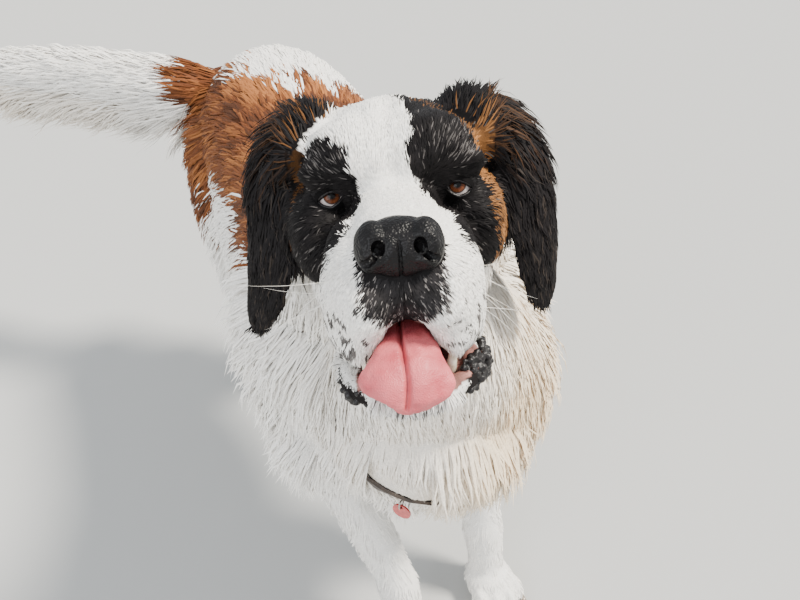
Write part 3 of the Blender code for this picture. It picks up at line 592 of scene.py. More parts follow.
def brown_at(points, strands):
    """The saddle's mahogany, with lighter and darker strands in it, and more orange on the top of the back as
    painted light.
    """
    shade = np.clip(0.55 * noise(points, 0.045, 8) + 0.45 * noise(points, 0.015, 9), 0, 1)
    shade += 0.25 * (strands - 0.5)
    # Painted light: more orange on the top of the back, above 0.70 m, where the light falls on it
    brown = mix(BROWN, ORANGE, smoothstep(0.48, 0.84, shade + 0.10 * smoothstep(0.70, 0.76, points[:, 2])))
    return mix(brown, DARK_BROWN, smoothstep(0.52, 0.30, shade) * 0.8)


def markings(points, dither, strands):
    """The coat's colour at each point; dither mixes two colours along an edge, strands varies the tufts."""
    local = to_local(points)
    left, ahead, up = local.T
    torn = 0.6 * noise(points, 0.022, 3) + 0.4 * noise(points, 0.008, 4)
    fine = noise(points, 0.006, 5)

    def varied(hue, least, more):
        return hue * (least + more * fine)[:, None]

    colour = mix(WHITE, CREAM, cream_share(points, noise(points, 0.060, 6)))
    colour = mix(colour, brown_at(points, strands), in_saddle(points, torn, dither))
    # The head's masks and tan strips
    chart = head_chart(local)
    head = head_share(local)
    black = covered(chart, MASK_RIGHT, torn, 2.5, 9, dither) | covered(chart, MASK_LEFT, torn, 2.5, 9, dither)
    black &= head
    brow = np.exp(-((np.abs(left) - 0.056) / 0.022) ** 2 - ((up - 0.036) / 0.017) ** 2) * (ahead < 0.05)
    beside_nose = np.exp(-((np.abs(left) - 0.070) / 0.012) ** 2 - ((up + 0.035) / 0.02) ** 2)
    flecked = strands < 0.02 + 0.24 * brow + 0.06 * beside_nose
    colour = mix(colour, mix(varied(BLACK, 0.7, 1.2), varied(GREY, 0.3, 0.8), flecked), black)
    high = smoothstep(34, 46, chart[:, 1])
    for outline, strength in ((TAN_LEFT, 1.0), (TAN_RIGHT, 0.30)):
        tan = black & covered(chart, outline, torn, 6, 10, dither) & (strands > 0.15 + 0.45 * high)
        colour = mix(colour, varied(TAN, 0.55, 0.7) * (strength * (1 - 0.55 * high))[:, None], tan)
    # The ears, and the root of the right one
    ears = np.zeros(len(points), bool)
    for s in (1, -1):
        ear, share, _ = on_ear(local, s)
        ruddy = smoothstep(0.26, 0.06, share + 0.4 * (strands - 0.5))
        ruddy *= 0.10 + 0.30 * smoothstep(0.075, 0.045, ahead)
        hue = mix(varied(BLACK, 1.1, 1.0), TAN * 0.45, ruddy)
        hue = mix(hue, SHEEN, (strands > 0.88) & (share > 0.3))
        colour = mix(colour, hue, ear)
        ears |= ear
    root = head & ~ears & (ahead > 0.005) & (up > 0.025) & (left < 0)
    root &= -left + 0.9 * (up - 0.05) + 0.010 * (torn - 0.5) > 0.0715
    colour = mix(colour, mix(varied(BLACK, 0.9, 1.0), TAN * 0.38, strands > 0.80), root)
    # The dark speckled hair between the nose and the lip
    side_edge = 0.032 - 1.05 * (-0.072 - up).clip(0, 1) + 0.010 * (torn - 0.5)
    depth = side_edge - np.abs(left + 0.001)
    patch = (depth > 0) & (ahead < -0.085) & (up < -0.030) & (up > -0.100)
    pale = strands > 0.92 - 0.22 * smoothstep(0.016, 0.004, depth)
    speckled = patch & (dither < 0.55 + 60 * depth)
    colour = mix(colour, mix(varied(SOOT, 0.6, 1.0), GREY * 1.3, pale), speckled)
    # Freckles on the lips, and dark speckles on the chin and beside the corners of the mouth, where the coat
    # is also painted a fifth darker as painted shade under the mouth
    lips = head & ~patch & (up < -0.072) & (up > -0.118) & (np.abs(left) > 0.026) & (ahead < -0.03)
    colour = mix(colour, varied(GREY, 0.4, 1.2), lips & (noise(points, 0.0055, 12) > 0.67))
    chin_speckle_and_shade = np.exp(-(((local - (0.0, -0.085, -0.156)) / (0.034, 0.024, 0.012)) ** 2).sum(axis=1))
    for edge in LIP_EDGES:
        chin_speckle_and_shade = np.maximum(chin_speckle_and_shade, 1.1 * np.exp(-(line_gap(local, edge) / 0.012) ** 2))
    chin_speckle_and_shade *= head
    return mix(colour * (1 - 0.2 * chin_speckle_and_shade)[:, None], varied(GREY, 0.3, 1.0), strands < 0.5 * chin_speckle_and_shade)


# The skin

SKIN_VOXEL = 0.0032
SKIN_FACES = 120000
JAW_VOXEL = 0.0025
HEAD_DEPTH = 0.0035     # how far the skin lies under the solids' surface on the head
EAR_DEPTH = 0.0015      # and on the ears
SKIN_FLOOR = 0.0008     # and the lowest that it goes under the paws
LID = 0.0035            # how thick the lids are on the eyeball
EYE_SLACK = 0.0004      # and the room between them
# The same on the rest of the body, by place
SKIN_DEPTH = spots([
    (0, -380, 600, 160, (4,)), (0, -300, 800, 120, (4,)), (0, 0, 760, 140, (6,)), (0, 250, 740, 140, (3,)),
    (-180, 0, 600, 140, (9,)), (180, 0, 600, 140, (9,)), (0, 0, 400, 140, (4,)), (0, -300, 200, 180, (5,)),
    (0, 320, 200, 150, (4,)), (0, 300, 500, 140, (7,)), (0, -350, 20, 50, (3,)), (0, 320, 20, 50, (3,)),
    (-300, 600, 640, 150, (4,))], signs=(1,), units=(0.001,))

# Sculpting on the head's own axes: (x, y, z, radius, push along the normal), x on the left, mirrored
SWELLS = metres([
    (50, -4, 30, 16, 3), (30, -20, 12, 10, 1.2), (46, -80, -66, 26, 3.5), (46, -46, -98, 22, 4),
    (18, -120, -72, 12, 2), (62, -10, -20, 14, 1.8), (20, -14, 40, 16, 2)])
# Creases on the same axes: the line of each, then its width and depth
CREASES = [(metres(line), *metres([sizes])[0]) for line, sizes in (
    ([(0, 55, 92), (0, 20, 70), (0, -12, 40), (0, -26, 12)], (7, 3)),
    ([(0, -138, -48), (0, -136, -64), (0, -128, -80)], (1.8, 2.8)),
    ([(28, -30, 4), (34, -22, -12), (50, -16, -26), (68, -6, -26)], (3, 2.2)),
    ([(34, -14, 20), (48, -14, 16.5), (64, -4, 14)], (2.4, 2)),
    ([(36, -45, -30), (58, -30, -46), (74, -2, -70)], (5, 3)),
    ([(4, -98, -3.5), (20, -98, -8), (34, -90, -22)], (2, 1.6)),
    ([(4, -86, -1.5), (20, -86, -6), (34, -78, -20)], (2, 1.4)),
    ([(5, -74, 0.5), (18, -74, -4), (30, -66, -16)], (2, 1)))]
MOUTH = metres([
    (0, 20, -98, 26, 10), (0, -40, -106, 32, 18), (0, -90, -112, 28, 26), (0, -150, -122, 30, 36)])
MOUTH_SLOPE = 0.80      # how steeply the two upper lips fall away from the middle
JAW = metres([
    (0, 45, -100, 40, 18), (0, -10, -122, 39, 18), (0, -55, -138, 37, 17), (0, -84, -145, 32, 14)])
JAW_LIP = metres([
    (38, 0, -112, 10, 11), (47, -35, -130, 9, 12), (43, -68, -139, 8, 10), (24, -92, -144, 7, 8)])
# The bare, crinkled edges of the lower lip: two lines on the left, one on the right
LIP_EDGES = [metres(line) for line in (
    [(44, -6, -112), (56, -24, -124), (61, -40, -133), (53, -60, -141), (41, -76, -146)],
    [(42, -76, -133), (50, -62, -131), (58, -46, -128)],
    [(-51, -40, -132), (-50, -56, -139), (-45, -72, -144), (-36, -84, -147)])]
INNER_LIP = metres([(26, -89, -139), (44, -68, -130), (48, -45, -120)])
PAW_TOES = (-0.033, -0.012, 0.012, 0.033)


def paws():
    """Each paw's centre and width."""
    for s in (1, -1):
        yield FOREPAW[s], 1.0
        yield Vector(rear(sided([HINDPAW], s)[0])), 0.92


def toe_places(centre, width):
    for k, across in enumerate(PAW_TOES):
        reach = 0.030 if k in (0, 3) else 0.046
        toe = centre + Vector((across, -reach, -0.004)) * width
        yield toe, toe + Vector((across * 0.12, -0.031, -0.010)) * width


def paw_forms(bm):
    for centre, width in paws():
        ellipsoid(bm, centre, (0.044 * width, 0.052 * width, 0.036 * width))
        for toe, _ in toe_places(centre, width):
            ellipsoid(bm, toe, (0.0145 * width, 0.028 * width, 0.026 * width))


def almond(s):
    """A prism whose outline is the opening between the lids, the lower lid drooping."""
    def prism(bm):
        low, high = ([bm.verts.new((x, y, z)) for x, z in lid_line(s, 40)] for y in (-0.045, 0.004))
        bridge(bm, low, high)
        bm.faces.new(low)
        bm.faces.new(high)
    return made("almond", (prism, head_matrix))


def lid_line(s, count):
    """The edge of the lids as (x, z) in the head's own axes, round the eye."""
    for a in around(count):
        x = math.cos(a) * 0.0106
        z = math.sin(a) * (0.0053 if math.sin(a) > 0 else 0.0080) * (1 - 0.25 * abs(math.cos(a)))
        yield s * (EYE_X + x), z - 0.0015 * (x / 0.01)


def eye_ball(s, radius):
    middle = (s * EYE_X, EYE_Y, 0.0)
    return made("ball", (lambda bm: ellipsoid(bm, middle, (radius,) * 3, segments=36, rings=24), head_matrix))


def mouth_cutter():
    """The open mouth, roofed by the two upper lips that slope down from the middle."""
    mouth = made("mouth", lambda bm: limb(bm, MOUTH, sides=40, steps=8))
    points = points_of(mouth.data)
    points[:, 2] -= MOUTH_SLOPE * np.maximum(0, np.abs(points[:, 0]) - 0.003) * (points[:, 2] > -0.116)
    set_points(mouth.data, points)
    mouth.data.transform(head_matrix)
    return mouth


def sculpt_head(skin):
    points = points_of(skin.data)
    local = to_local(points)
    near = np.linalg.norm(local - (0, -0.03, -0.03), axis=1) < 0.2
    push = np.zeros(len(points))
    folded = np.abs(local[near]) * (1, 0, 0) + local[near] * (0, 1, 1)
    amount = np.zeros(len(folded))
    for x, y, z, radius, height in SWELLS:
        amount += height * np.exp(-((folded - (x, y, z)) ** 2).sum(axis=1) / radius ** 2)
    for line, width, depth in CREASES:
        gap = line_gap(folded, line) / width
        amount += depth * (0.45 * np.exp(-((gap - 2.0) / 0.9) ** 2) - np.exp(-gap ** 2))
    amount += 0.0012 * (noise(points[near], 0.012, 21) - 0.5)
    push[near] = amount
    pushed(skin.data, push)


def group_of(obj, name, chosen):
    group = obj.vertex_groups.new(name=name)
    group.add(np.nonzero(chosen)[0].tolist(), 1.0, "REPLACE")
    return name


def tail_form(bm):
    limb(bm, TAIL, side=(0.6, -0.8, 0), sides=24, steps=4)


def lip_forms(bm):
    """The upper lips that hang beside the tongue, and the root of each ear."""
    for s in (1, -1):
        balls(bm, sided(LIP_AND_EAR_ROOT, s), segments=24, rings=16)


def eye_gap(local):
    """The distance of each point to the nearer eye's middle."""
    return np.minimum(*(np.linalg.norm(local - (s * EYE_X, EYE_Y, 0), axis=1) for s in (1, -1)))


def coat_depth(points, local):
    """How far the skin lies under the solids' surface at each point."""
    depth = np.where(head_share(local), HEAD_DEPTH, blend(points, SKIN_DEPTH)[:, 0])
    depth *= smoothstep(0.012, 0.028, eye_gap(local))
    for s in (1, -1):
        depth = np.where(on_ear(local, s)[0], EAR_DEPTH, depth)
    return depth


def make_jaw():
    """The lower jaw and its lips, which the mouth's cut would else have taken away."""
    def forms(bm):
        limb(bm, JAW, sides=32, steps=6)
        for s in (1, -1):
            limb(bm, sided(JAW_LIP, s), sides=20, steps=6)
    return remeshed(made("jaw", (forms, head_matrix)), JAW_VOXEL, 5)


def make_skin():
    """One closed skin for the whole body, under the coat, with the mouth and the lids cut in it."""
    on_head = (head_forms, lip_forms, ear_forms(1), ear_forms(-1))
    skin = made("skin", body_forms, tail_form, paw_forms, *[(forms, head_matrix) for forms in on_head])
    remeshed(skin, SKIN_VOXEL, 5)
    points = points_of(skin.data)
    smoothed(skin, 36, group_of(skin, "body", ~head_share(to_local(points)) & (points[:, 2] > 0.10)))
    skin.vertex_groups.clear()
    points = points_of(skin.data)
    local = to_local(points)
    pushed(skin.data, -coat_depth(points, local))
    points = points_of(skin.data)
    points[:, 2] = np.maximum(points[:, 2], SKIN_FLOOR)
    set_points(skin.data, points)
    # Fewer faces, except on the head
    head = head_share(local) & (np.linalg.norm(local - (0, 0, -0.03), axis=1) < 0.22)
    reduce = skin.modifiers.new("Decimate", "DECIMATE")
    reduce.use_collapse_triangulate = True
    reduce.vertex_group = group_of(skin, "free", ~head)
    reduce.ratio = SKIN_FACES / (2 * len(skin.data.polygons))
    applied(skin)
    skin.vertex_groups.clear()
    sculpt_head(skin)
    boolean(skin, "UNION", [eye_ball(s, EYE_RADIUS + LID) for s in (1, -1)])
    boolean(skin, "DIFFERENCE", [almond(s) for s in (1, -1)])
    boolean(skin, "DIFFERENCE", [eye_ball(s, EYE_RADIUS + EYE_SLACK) for s in (1, -1)])
    boolean(skin, "DIFFERENCE", [mouth_cutter()])
    boolean(skin, "UNION", [make_jaw()])
    return skin


# The coat

# How the coat lies, and (length, lift, width) of its tufts, by place: on the head in its own axes
COAT_UNITS = (0.001, 1, 0.001)
HEAD_LIE = spots([
    (0, -80, -4, 30, (0, 1, 0.15)), (0, -12, 24, 30, (0, 0.7, 0.7)), (20, 40, 78, 40, (0.1, 1, 0.2)),
    (48, -4, 32, 16, (0.45, 0.5, 0.7)), (76, 45, 50, 26, (0.5, 0.8, 0.25)),
    (50, -80, -50, 30, (0.12, 0.75, -0.6)), (20, -122, -68, 20, (0.55, 0.1, -0.8)),
    (52, -50, -100, 30, (0.1, 0.45, -0.85)), (86, 20, -40, 30, (0.2, 0.75, -0.6)),
    (60, -10, -26, 16, (0.6, 0.6, -0.4)), (36, -26, 0, 14, (0.2, 0.8, 0.2)),
    (74, 10, 4, 16, (0.4, 0.9, -0.1)), (60, 70, -100, 40, (0.1, 0.6, -0.8)),
    (20, -85, -140, 30, (0.1, 0.6, -0.8)), (0, 150, 20, 50, (0, 1, -0.5)),
    (95, 80, -60, 30, (0.2, 0.7, -0.8))], turned=True)
HEAD_COAT = spots([
    (0, -90, -4, 30, (6.5, 0.3, 1.1)), (0, -30, 10, 30, (8.5, 0.3, 1.2)),
    (20, 30, 80, 40, (13, 0.26, 1.4)), (50, -4, 32, 16, (11, 0.45, 1.2)),
    (76, 45, 58, 20, (29, 0.55, 1.5)), (56, 56, 78, 16, (30, 0.7, 1.5)), (50, -80, -50, 30, (8, 0.3, 1.1)),
    (20, -122, -68, 20, (6, 0.35, 1)), (52, -50, -100, 25, (10, 0.35, 1.2)),
    (51, -8, 0, 16, (5.5, 0.22, 1)), (86, 20, -40, 30, (14, 0.3, 1.3)), (90, 80, -60, 30, (28, 0.4, 1.8)),
    (60, 80, -110, 40, (30, 0.4, 1.8)), (20, -85, -140, 30, (12, 0.4, 1.2)),
    (0, 150, 30, 40, (30, 0.35, 2))], units=COAT_UNITS)
BODY_LIE = spots([
    (-30, -450, 700, 100, (0, -0.12, -1)), (0, -440, 550, 100, (0, -0.05, -1)),
    (10, -380, 380, 80, (0, 0.35, -0.9)), (0, -250, 860, 80, (0, 1, -0.3)),
    (0, -100, 770, 120, (0, 1, -0.1)), (0, 100, 750, 120, (0, 1, -0.1)), (0, 300, 740, 100, (0, 1, -0.35)),
    (0, 50, 400, 120, (0, 0.7, -0.7)), (-20, 400, 660, 70, (0, 0.4, -0.9))], signs=(1,)) + spots([
    (130, -360, 740, 80, (0.25, 0.25, -1)), (150, -380, 540, 80, (0.3, 0.2, -1)),
    (180, -200, 550, 100, (0.1, 0.5, -0.85)), (180, 0, 580, 120, (0.05, 0.75, -0.65)),
    (160, 200, 620, 100, (0.05, 0.65, -0.75)), (160, 270, 500, 100, (0.05, 0.45, -0.9)),
    (100, 400, 450, 80, (0.05, 0.4, -0.9)), (120, -280, 250, 100, (0, 0.25, -1)),
    (90, 320, 200, 100, (0, 0.2, -1)), (100, -320, 100, 50, (0, -0.15, -1)),
    (85, 340, 80, 50, (0, -0.1, -1)), (110, -400, 30, 40, (0, -0.9, -0.45)),
    (50, -430, 30, 40, (0, -0.9, -0.45)), (80, 280, 30, 40, (0, -0.9, -0.45))], turned=True)
BODY_COAT = spots([
    (-30, -450, 720, 80, (50, 0.26, 2.6)), (0, -440, 570, 100, (72, 0.26, 3)),
    (10, -400, 420, 70, (80, 0.32, 3)), (0, -250, 860, 80, (55, 0.35, 2.8)),
    (0, -100, 770, 120, (50, 0.2, 3.6)), (0, 150, 750, 120, (45, 0.18, 3.6)),
    (0, 50, 400, 100, (70, 0.5, 3.6)), (-20, 400, 660, 70, (60, 0.3, 3.4))],
    signs=(1,), units=COAT_UNITS) + spots([
    (130, -360, 740, 80, (65, 0.32, 2.8)), (150, -380, 540, 80, (75, 0.3, 3)),
    (180, -200, 550, 100, (58, 0.26, 3.4)), (180, 0, 580, 120, (52, 0.2, 3.6)),
    (160, 250, 550, 100, (50, 0.24, 3.4)), (100, 400, 460, 60, (90, 0.5, 3.4)),
    (120, -320, 250, 70, (22, 0.25, 2.2)), (110, -230, 280, 50, (45, 0.5, 2.6)),
    (85, 320, 200, 80, (24, 0.28, 2.2)), (110, -360, 40, 60, (12, 0.3, 1.8)),
    (50, -410, 30, 60, (12, 0.3, 1.8)), (80, 300, 30, 60, (12, 0.3, 1.8))], units=COAT_UNITS)
TUFT_RINGS = {"short": (0, 0.5), "mid": (0, 0.36, 0.72)}
# Each part of the coat: its tufts, their rings, how far they gather in locks, the locks' size and their wave
COATS = {
    "face": (48000, "short", 0.25, 0.006, 0.02), "ears": (8000, "mid", 0.50, 0.009, 0.10),
    "neck": (23500, "mid", 0.32, 0.022, 0.06), "torso": (17500, "mid", 0.50, 0.022, 0.05),
    "legs": (9000, "mid", 0.40, 0.012, 0.03), "tail": (6000, "mid", 0.45, 0.020, 0.05),
}
MOST_TUFT_FACES = 190000    # in one piece of the coat
PATCH = 0.003               # the size of a tuft's patch on the OFBake map
UNWRAP_FACES = 9000         # of the plain copy of the skin that the OFBake map unfolds
ROOT_DEPTH = 0.0012         # how far a tuft starts inside the skin, at most
BEND = 0.62                 # how far the rise of a tuft has bent back at its tip, as a share
LENGTHS, LIFTS, WIDTHS = (0.75, 1.2), (0.7, 1.3), (0.7, 1.3)   # how much tufts of one place differ
RIDGE = 0.55                # a tuft's height over half its width
COAT_SIDE = 0.2185          # no tuft goes further to the dog's left than this
COAT_FLOOR = 0.0006         # nor lower than this
seeded = np.random.default_rng(11)     # every random draw comes from it, in the order of the calls


class Unwrap:
    """An unwrap of the skin's own shape, and where on it a root lies."""

    def __init__(self, skin):
        shell = link("shell", skin.data.copy())
        reduce = shell.modifiers.new("Decimate", "DECIMATE")
        reduce.ratio = UNWRAP_FACES / len(shell.data.polygons)
        applied(shell)
        bpy.ops.object.select_all(action="DESELECT")
        shell.select_set(True)
        bpy.context.view_layer.objects.active = shell
        bpy.ops.object.mode_set(mode="EDIT")
        bpy.ops.mesh.select_all(action="SELECT")
        bpy.ops.mesh.quads_convert_to_tris()
        bpy.ops.uv.smart_project(angle_limit=math.radians(66), island_margin=0.004)
        bpy.ops.object.mode_set(mode="OBJECT")
        mesh = shell.data
        self.points = points_of(mesh)
        self.faces = np.array([p.vertices[:] for p in mesh.polygons])
        self.uv = read(mesh.uv_layers.active.data, "uv", 2).reshape(-1, 3, 2)
        self.tree = BVHTree.FromPolygons(self.points.tolist(), self.faces.tolist())
        bpy.data.objects.remove(shell, do_unlink=True)

    def at(self, roots):
        found = [self.tree.find_nearest(root) for root in roots.tolist()]
        faces = np.array([hit[2] for hit in found])
        places = np.array([hit[0][:] for hit in found])
        a, b, c = (self.points[self.faces[faces, k]] for k in range(3))
        whole = np.cross(b - a, c - a)
        size = np.maximum((whole * whole).sum(axis=1), 1e-18)
        share_b = (np.cross(places - a, c - a) * whole).sum(axis=1) / size
        share_c = (np.cross(b - a, places - a) * whole).sum(axis=1) / size
        shares = np.stack([1 - share_b - share_c, share_b, share_c], axis=1).clip(0, 1)
        return (self.uv[faces] * shares[:, :, None]).sum(axis=1)


def scattered(points, normals, triangles, density, count):
    """Roots spread over the triangles in proportion to the density, with their normals."""
    a, b, c = (points[triangles[:, k]] for k in range(3))
    area = np.linalg.norm(np.cross(b - a, c - a), axis=1) * density
    steps = np.cumsum(area)
    picks = (np.arange(count) + seeded.random(count)) / count * steps[-1]
    chosen = np.minimum(np.searchsorted(steps, picks), len(triangles) - 1)
    u, v = seeded.random((2, count))
    over = u + v > 1
    u[over], v[over] = 1 - u[over], 1 - v[over]
    shares = np.stack([1 - u - v, u, v], axis=1)[:, :, None]
    corners = triangles[chosen]
    return (points[corners] * shares).sum(axis=1), unit((normals[corners] * shares).sum(axis=1))


def centre_lines(roots, normals, lies, lengths, lifts, sags, curls, waves, phases, steps):
    """The middle line of each tuft, as (tuft, ring, 3)."""
    t = np.array(steps)[None, :, None]
    size, lift, sag, curl, phase = (value[:, None, None] for value in (lengths, lifts, sags, curls, phases))
    aside = np.cross(normals, lies)
    rise = lift * (t - BEND * t * t)
    swing = curl * t * t + waves * np.sin(7.5 * t + phase) * t
    lines = roots[:, None] + size * (lies[:, None] * t + normals[:, None] * rise + aside[:, None] * swing)
    lines[:, :, 2] -= (size * sag * t * t)[:, :, 0]
    return lines - normals[:, None] * np.minimum(ROOT_DEPTH, 0.045 * lengths)[:, None, None]


def locks(roots):
    """The tuft that each one gathers to: the nearest of a ninth of them."""
    leaders = np.sort(seeded.permutation(len(roots))[:max(8, len(roots) // 9)])
    tree = KDTree(len(leaders))
    for k, leader in enumerate(leaders):
        tree.insert(roots[leader], k)
    tree.balance()
    return leaders[[tree.find(root)[1] for root in roots.tolist()]]


def blade_faces(rings):
    """The triangles of one tuft: a closed blade of three sides, its tip last; and which corners look down."""
    faces = [(0, 2, 1)]
    under = [False]
    for i in range(rings - 1):
        for k in range(3):
            j = (k + 1) % 3
            low, high = 3 * i, 3 * i + 3
            faces += [(low + k, low + j, high + j), (low + k, high + j, high + k)]
            under += [k == 0] * 2
    faces += [(3 * rings, 3 * rings - 3 + k, 3 * rings - 3 + (k + 1) % 3) for k in range(3)]
    return np.array(faces)[:, ::-1], np.array(under + [True, False, False])


def tuft_meshes(name, roots, normals, lies, coat, sags, colours, places, kind, gather, lock_size, wave):
    """Joined meshes of the tufts, each gathered with its neighbours to a lock."""
    count = len(roots)
    lengths, lifts, widths = (coat[:, k] * seeded.uniform(least, most, count)
                              for k, (least, most) in enumerate((LENGTHS, LIFTS, WIDTHS)))
    steps = (*TUFT_RINGS[kind], 1.0)
    drawn = seeded.normal(0, 1, (4, count))
    lies = unit(lies + np.cross(normals, lies) * (0.10 * drawn[0])[:, None])
    lock = locks(roots)
    curls, phases = 0.10 * drawn[1], 1.5 * drawn[2]
    lines = centre_lines(roots, normals, lies, lengths, lifts, sags, curls, wave, phases, steps)
    guides = centre_lines(roots[lock], normals[lock], lies[lock], lengths, lifts[lock], sags[lock],
                          curls[lock], wave, phases[lock], steps)
    apart = np.linalg.norm(roots - roots[lock], axis=1) > 2.5 * lock_size
    pull = np.where(apart[:, None, None], 0, (gather * np.array(steps) ** 1.2)[None, :, None])
    lines = lines + (guides - lines) * pull
    tangents = unit(np.gradient(lines, axis=1))
    aside = unit(np.cross(tangents, normals[:, None] + 0.25 * seeded.normal(0, 1, (count, 1, 3))))
    above = np.cross(aside, tangents)
    rings = len(steps) - 1
    profile = np.interp(steps[:-1], (0, 0.3, 0.75, 1), (0.80, 1.0, 0.72, 0.1))
    half = widths[:, None, None] * profile[None, :, None] / 2
    body = lines[:, :rings]
    sides = np.stack([body - aside[:, :rings] * half, body + aside[:, :rings] * half,
                      body + above[:, :rings] * half * RIDGE], axis=2)
    own = np.concatenate([(sides - body[:, :, None]).reshape(count, rings * 3, 3), tangents[:, -1:]], axis=1)
    points = np.concatenate([sides.reshape(count, rings * 3, 3), lines[:, -1:]], axis=1)
    points[:, :, 0] = np.minimum(points[:, :, 0], COAT_SIDE)
    points[:, :, 2] = np.maximum(points[:, :, 2], COAT_FLOOR)
    faces, under = blade_faces(rings)
    # A normal between the tuft's own and the skin's lets the light fall softly over the whole coat
    ring_of = np.append(np.repeat(np.arange(rings), 3), rings)
    onward = tangents[:, ring_of]
    outward = normals[:, None] - 0.85 * onward * (onward * normals[:, None]).sum(axis=2, keepdims=True)
    upper, lower = unit(unit(own) * 0.32 + outward), unit(unit(own) * 0.45 - above[:, ring_of])
    shading = np.where(under[None, :, None, None], lower[:, faces], upper[:, faces])
    # Painted shade and light along each tuft: darker at its root, where the coat over it shades it, and a
    # little lighter at its tip
    height = np.append(np.repeat(steps[:-1], 3), 1.0)
    shade = np.interp(height, (0, 0.5, 1), (0.86, 0.99, 1.04))
    tones = colours[:, None, :] * shade[None, :, None] * seeded.uniform(0.88, 1.08, count)[:, None, None]
    patch = np.stack([np.append(np.tile((-0.5, 0.5, 0.0), rings), 0.0), height - 0.5], axis=1) * PATCH
    uv = places[:, None, :] + patch[None]
    per_piece = MOST_TUFT_FACES // len(faces)
    return [triangle_mesh(f"coat_{name}_{k + 1}", faces, *(part[start:start + per_piece]
                                                           for part in (points, tones, uv, shading)))
            for k, start in enumerate(range(0, count, per_piece))]


def triangle_mesh(name, faces, points, tones, uv, shading):
    """A mesh of many tufts of the same few faces, with its colours, normals and places on the unwrap."""
    copies, each, _ = points.shape
    corners = (faces[None] + each * np.arange(copies)[:, None, None]).reshape(-1).astype(np.int32)
    mesh = bpy.data.meshes.new(name)
    mesh.vertices.add(copies * each)
    mesh.vertices.foreach_set("co", points.astype(np.float32).ravel())
    mesh.loops.add(len(corners))
    mesh.loops.foreach_set("vertex_index", corners)
    mesh.polygons.add(len(corners) // 3)
    mesh.polygons.foreach_set("loop_start", np.arange(0, len(corners), 3, dtype=np.int32))
    mesh.update(calc_edges=True)
    mesh.shade_smooth()
    layer = mesh.uv_layers.new(name="OFBake")
    layer.data.foreach_set("uv", uv.reshape(-1, 2)[corners].astype(np.float32).ravel())
    mesh.normals_split_custom_set(shading.reshape(-1, 3).astype(np.float32))
    paint(mesh, tones.reshape(-1, 3))
    return link(name, mesh)


def paint(mesh, colours):
    """Writes a colour for each vertex, which the materials read."""
    attribute = mesh.color_attributes.new("coat", "FLOAT_COLOR", "POINT")
    whole = np.ones((len(colours), 4), np.float32)
    whole[:, :3] = colours.clip(0, 1)
    attribute.data.foreach_set("color", whole.ravel())


# Where the coat grows

CAMERA_AT = Vector((-0.269, -0.949, 1.233))
TAG_AT = np.array((-0.080, -0.447, 0.452))
STRAP_AXIS = np.array((-0.02, -0.797, 0.603))
BARE_LIP = 0.0080       # how far from the lips' edges the first hair roots
COVER = 0.076           # how long the hair is that hides the collar
HIDING_REACH = 0.15     # how far in front of a mark a tuft can hide it
ROUNDS = 9              # of shortening and lowering the tufts that hide one
SHORTENED, LOWERED = 0.80, 0.70


def in_mouth(local):
    """The upper face of the lower jaw, inside the lips."""
    inside = (np.abs(local[:, 0]) < 0.040) & (local[:, 1] > -0.094) & (local[:, 1] < 0.03)
    return inside & (local[:, 2] < -0.088) & (local[:, 2] > -0.128 + 0.12 * local[:, 1])


def bare_places(points, local, mouth, nose):
    """True where no hair roots: the lids' rims, the nose, the lips and the mouth, and the soles."""
    bare = np.zeros(len(points), bool)
    for s in (1, -1):
        x, z = local[:, 0] - s * EYE_X, local[:, 2] + 0.0008
        bare |= ((x / 0.0128) ** 2 + (z / 0.0090) ** 2 < 1) & (local[:, 1] < 0.02)
    for edge in (*LIP_EDGES, INNER_LIP):
        bare |= line_gap(local, edge) < BARE_LIP
    near = np.nonzero((local[:, 1] < 0.05) & (local[:, 2] < -0.005) & head_share(local))[0]
    for i in near:
        point = Vector(points[i])
        bare[i] |= mouth.find_nearest(point, 0.0035)[0] is not None
        bare[i] |= nose.find_nearest(point, 0.0016)[0] is not None
    bare |= in_mouth(local)
    bare |= ((local[:, 0] / 0.029) ** 2 + ((local[:, 2] + 0.033) / 0.021) ** 2 < 1) & (local[:, 1] < -0.09)
    bare |= (np.abs(local[:, 0]) < 0.0011) & (local[:, 1] < -0.10) & (np.abs(local[:, 2] + 0.068) < 0.020)
    return bare | (points[:, 2] < 0.004)


def parts_of(points):
    """The name of the part of the coat that each point belongs to."""
    local = to_local(points)
    share, off, _ = along(points, TAIL)
    name = np.full(len(points), "torso", dtype=object)
    name[(points[:, 1] < -0.24) | ((points[:, 2] > 0.70) & (points[:, 1] < -0.15))] = "neck"
    name[(points[:, 2] < 0.37) | ((points[:, 1] > 0.16) & (points[:, 2] < 0.50))] = "legs"
    name[(share > 0.03) & (off < 1.9) & (points[:, 0] < -0.06)] = "tail"
    name[head_share(local)] = "face"
    for s in (1, -1):
        name[on_ear(local, s)[0]] = "ears"
    return name


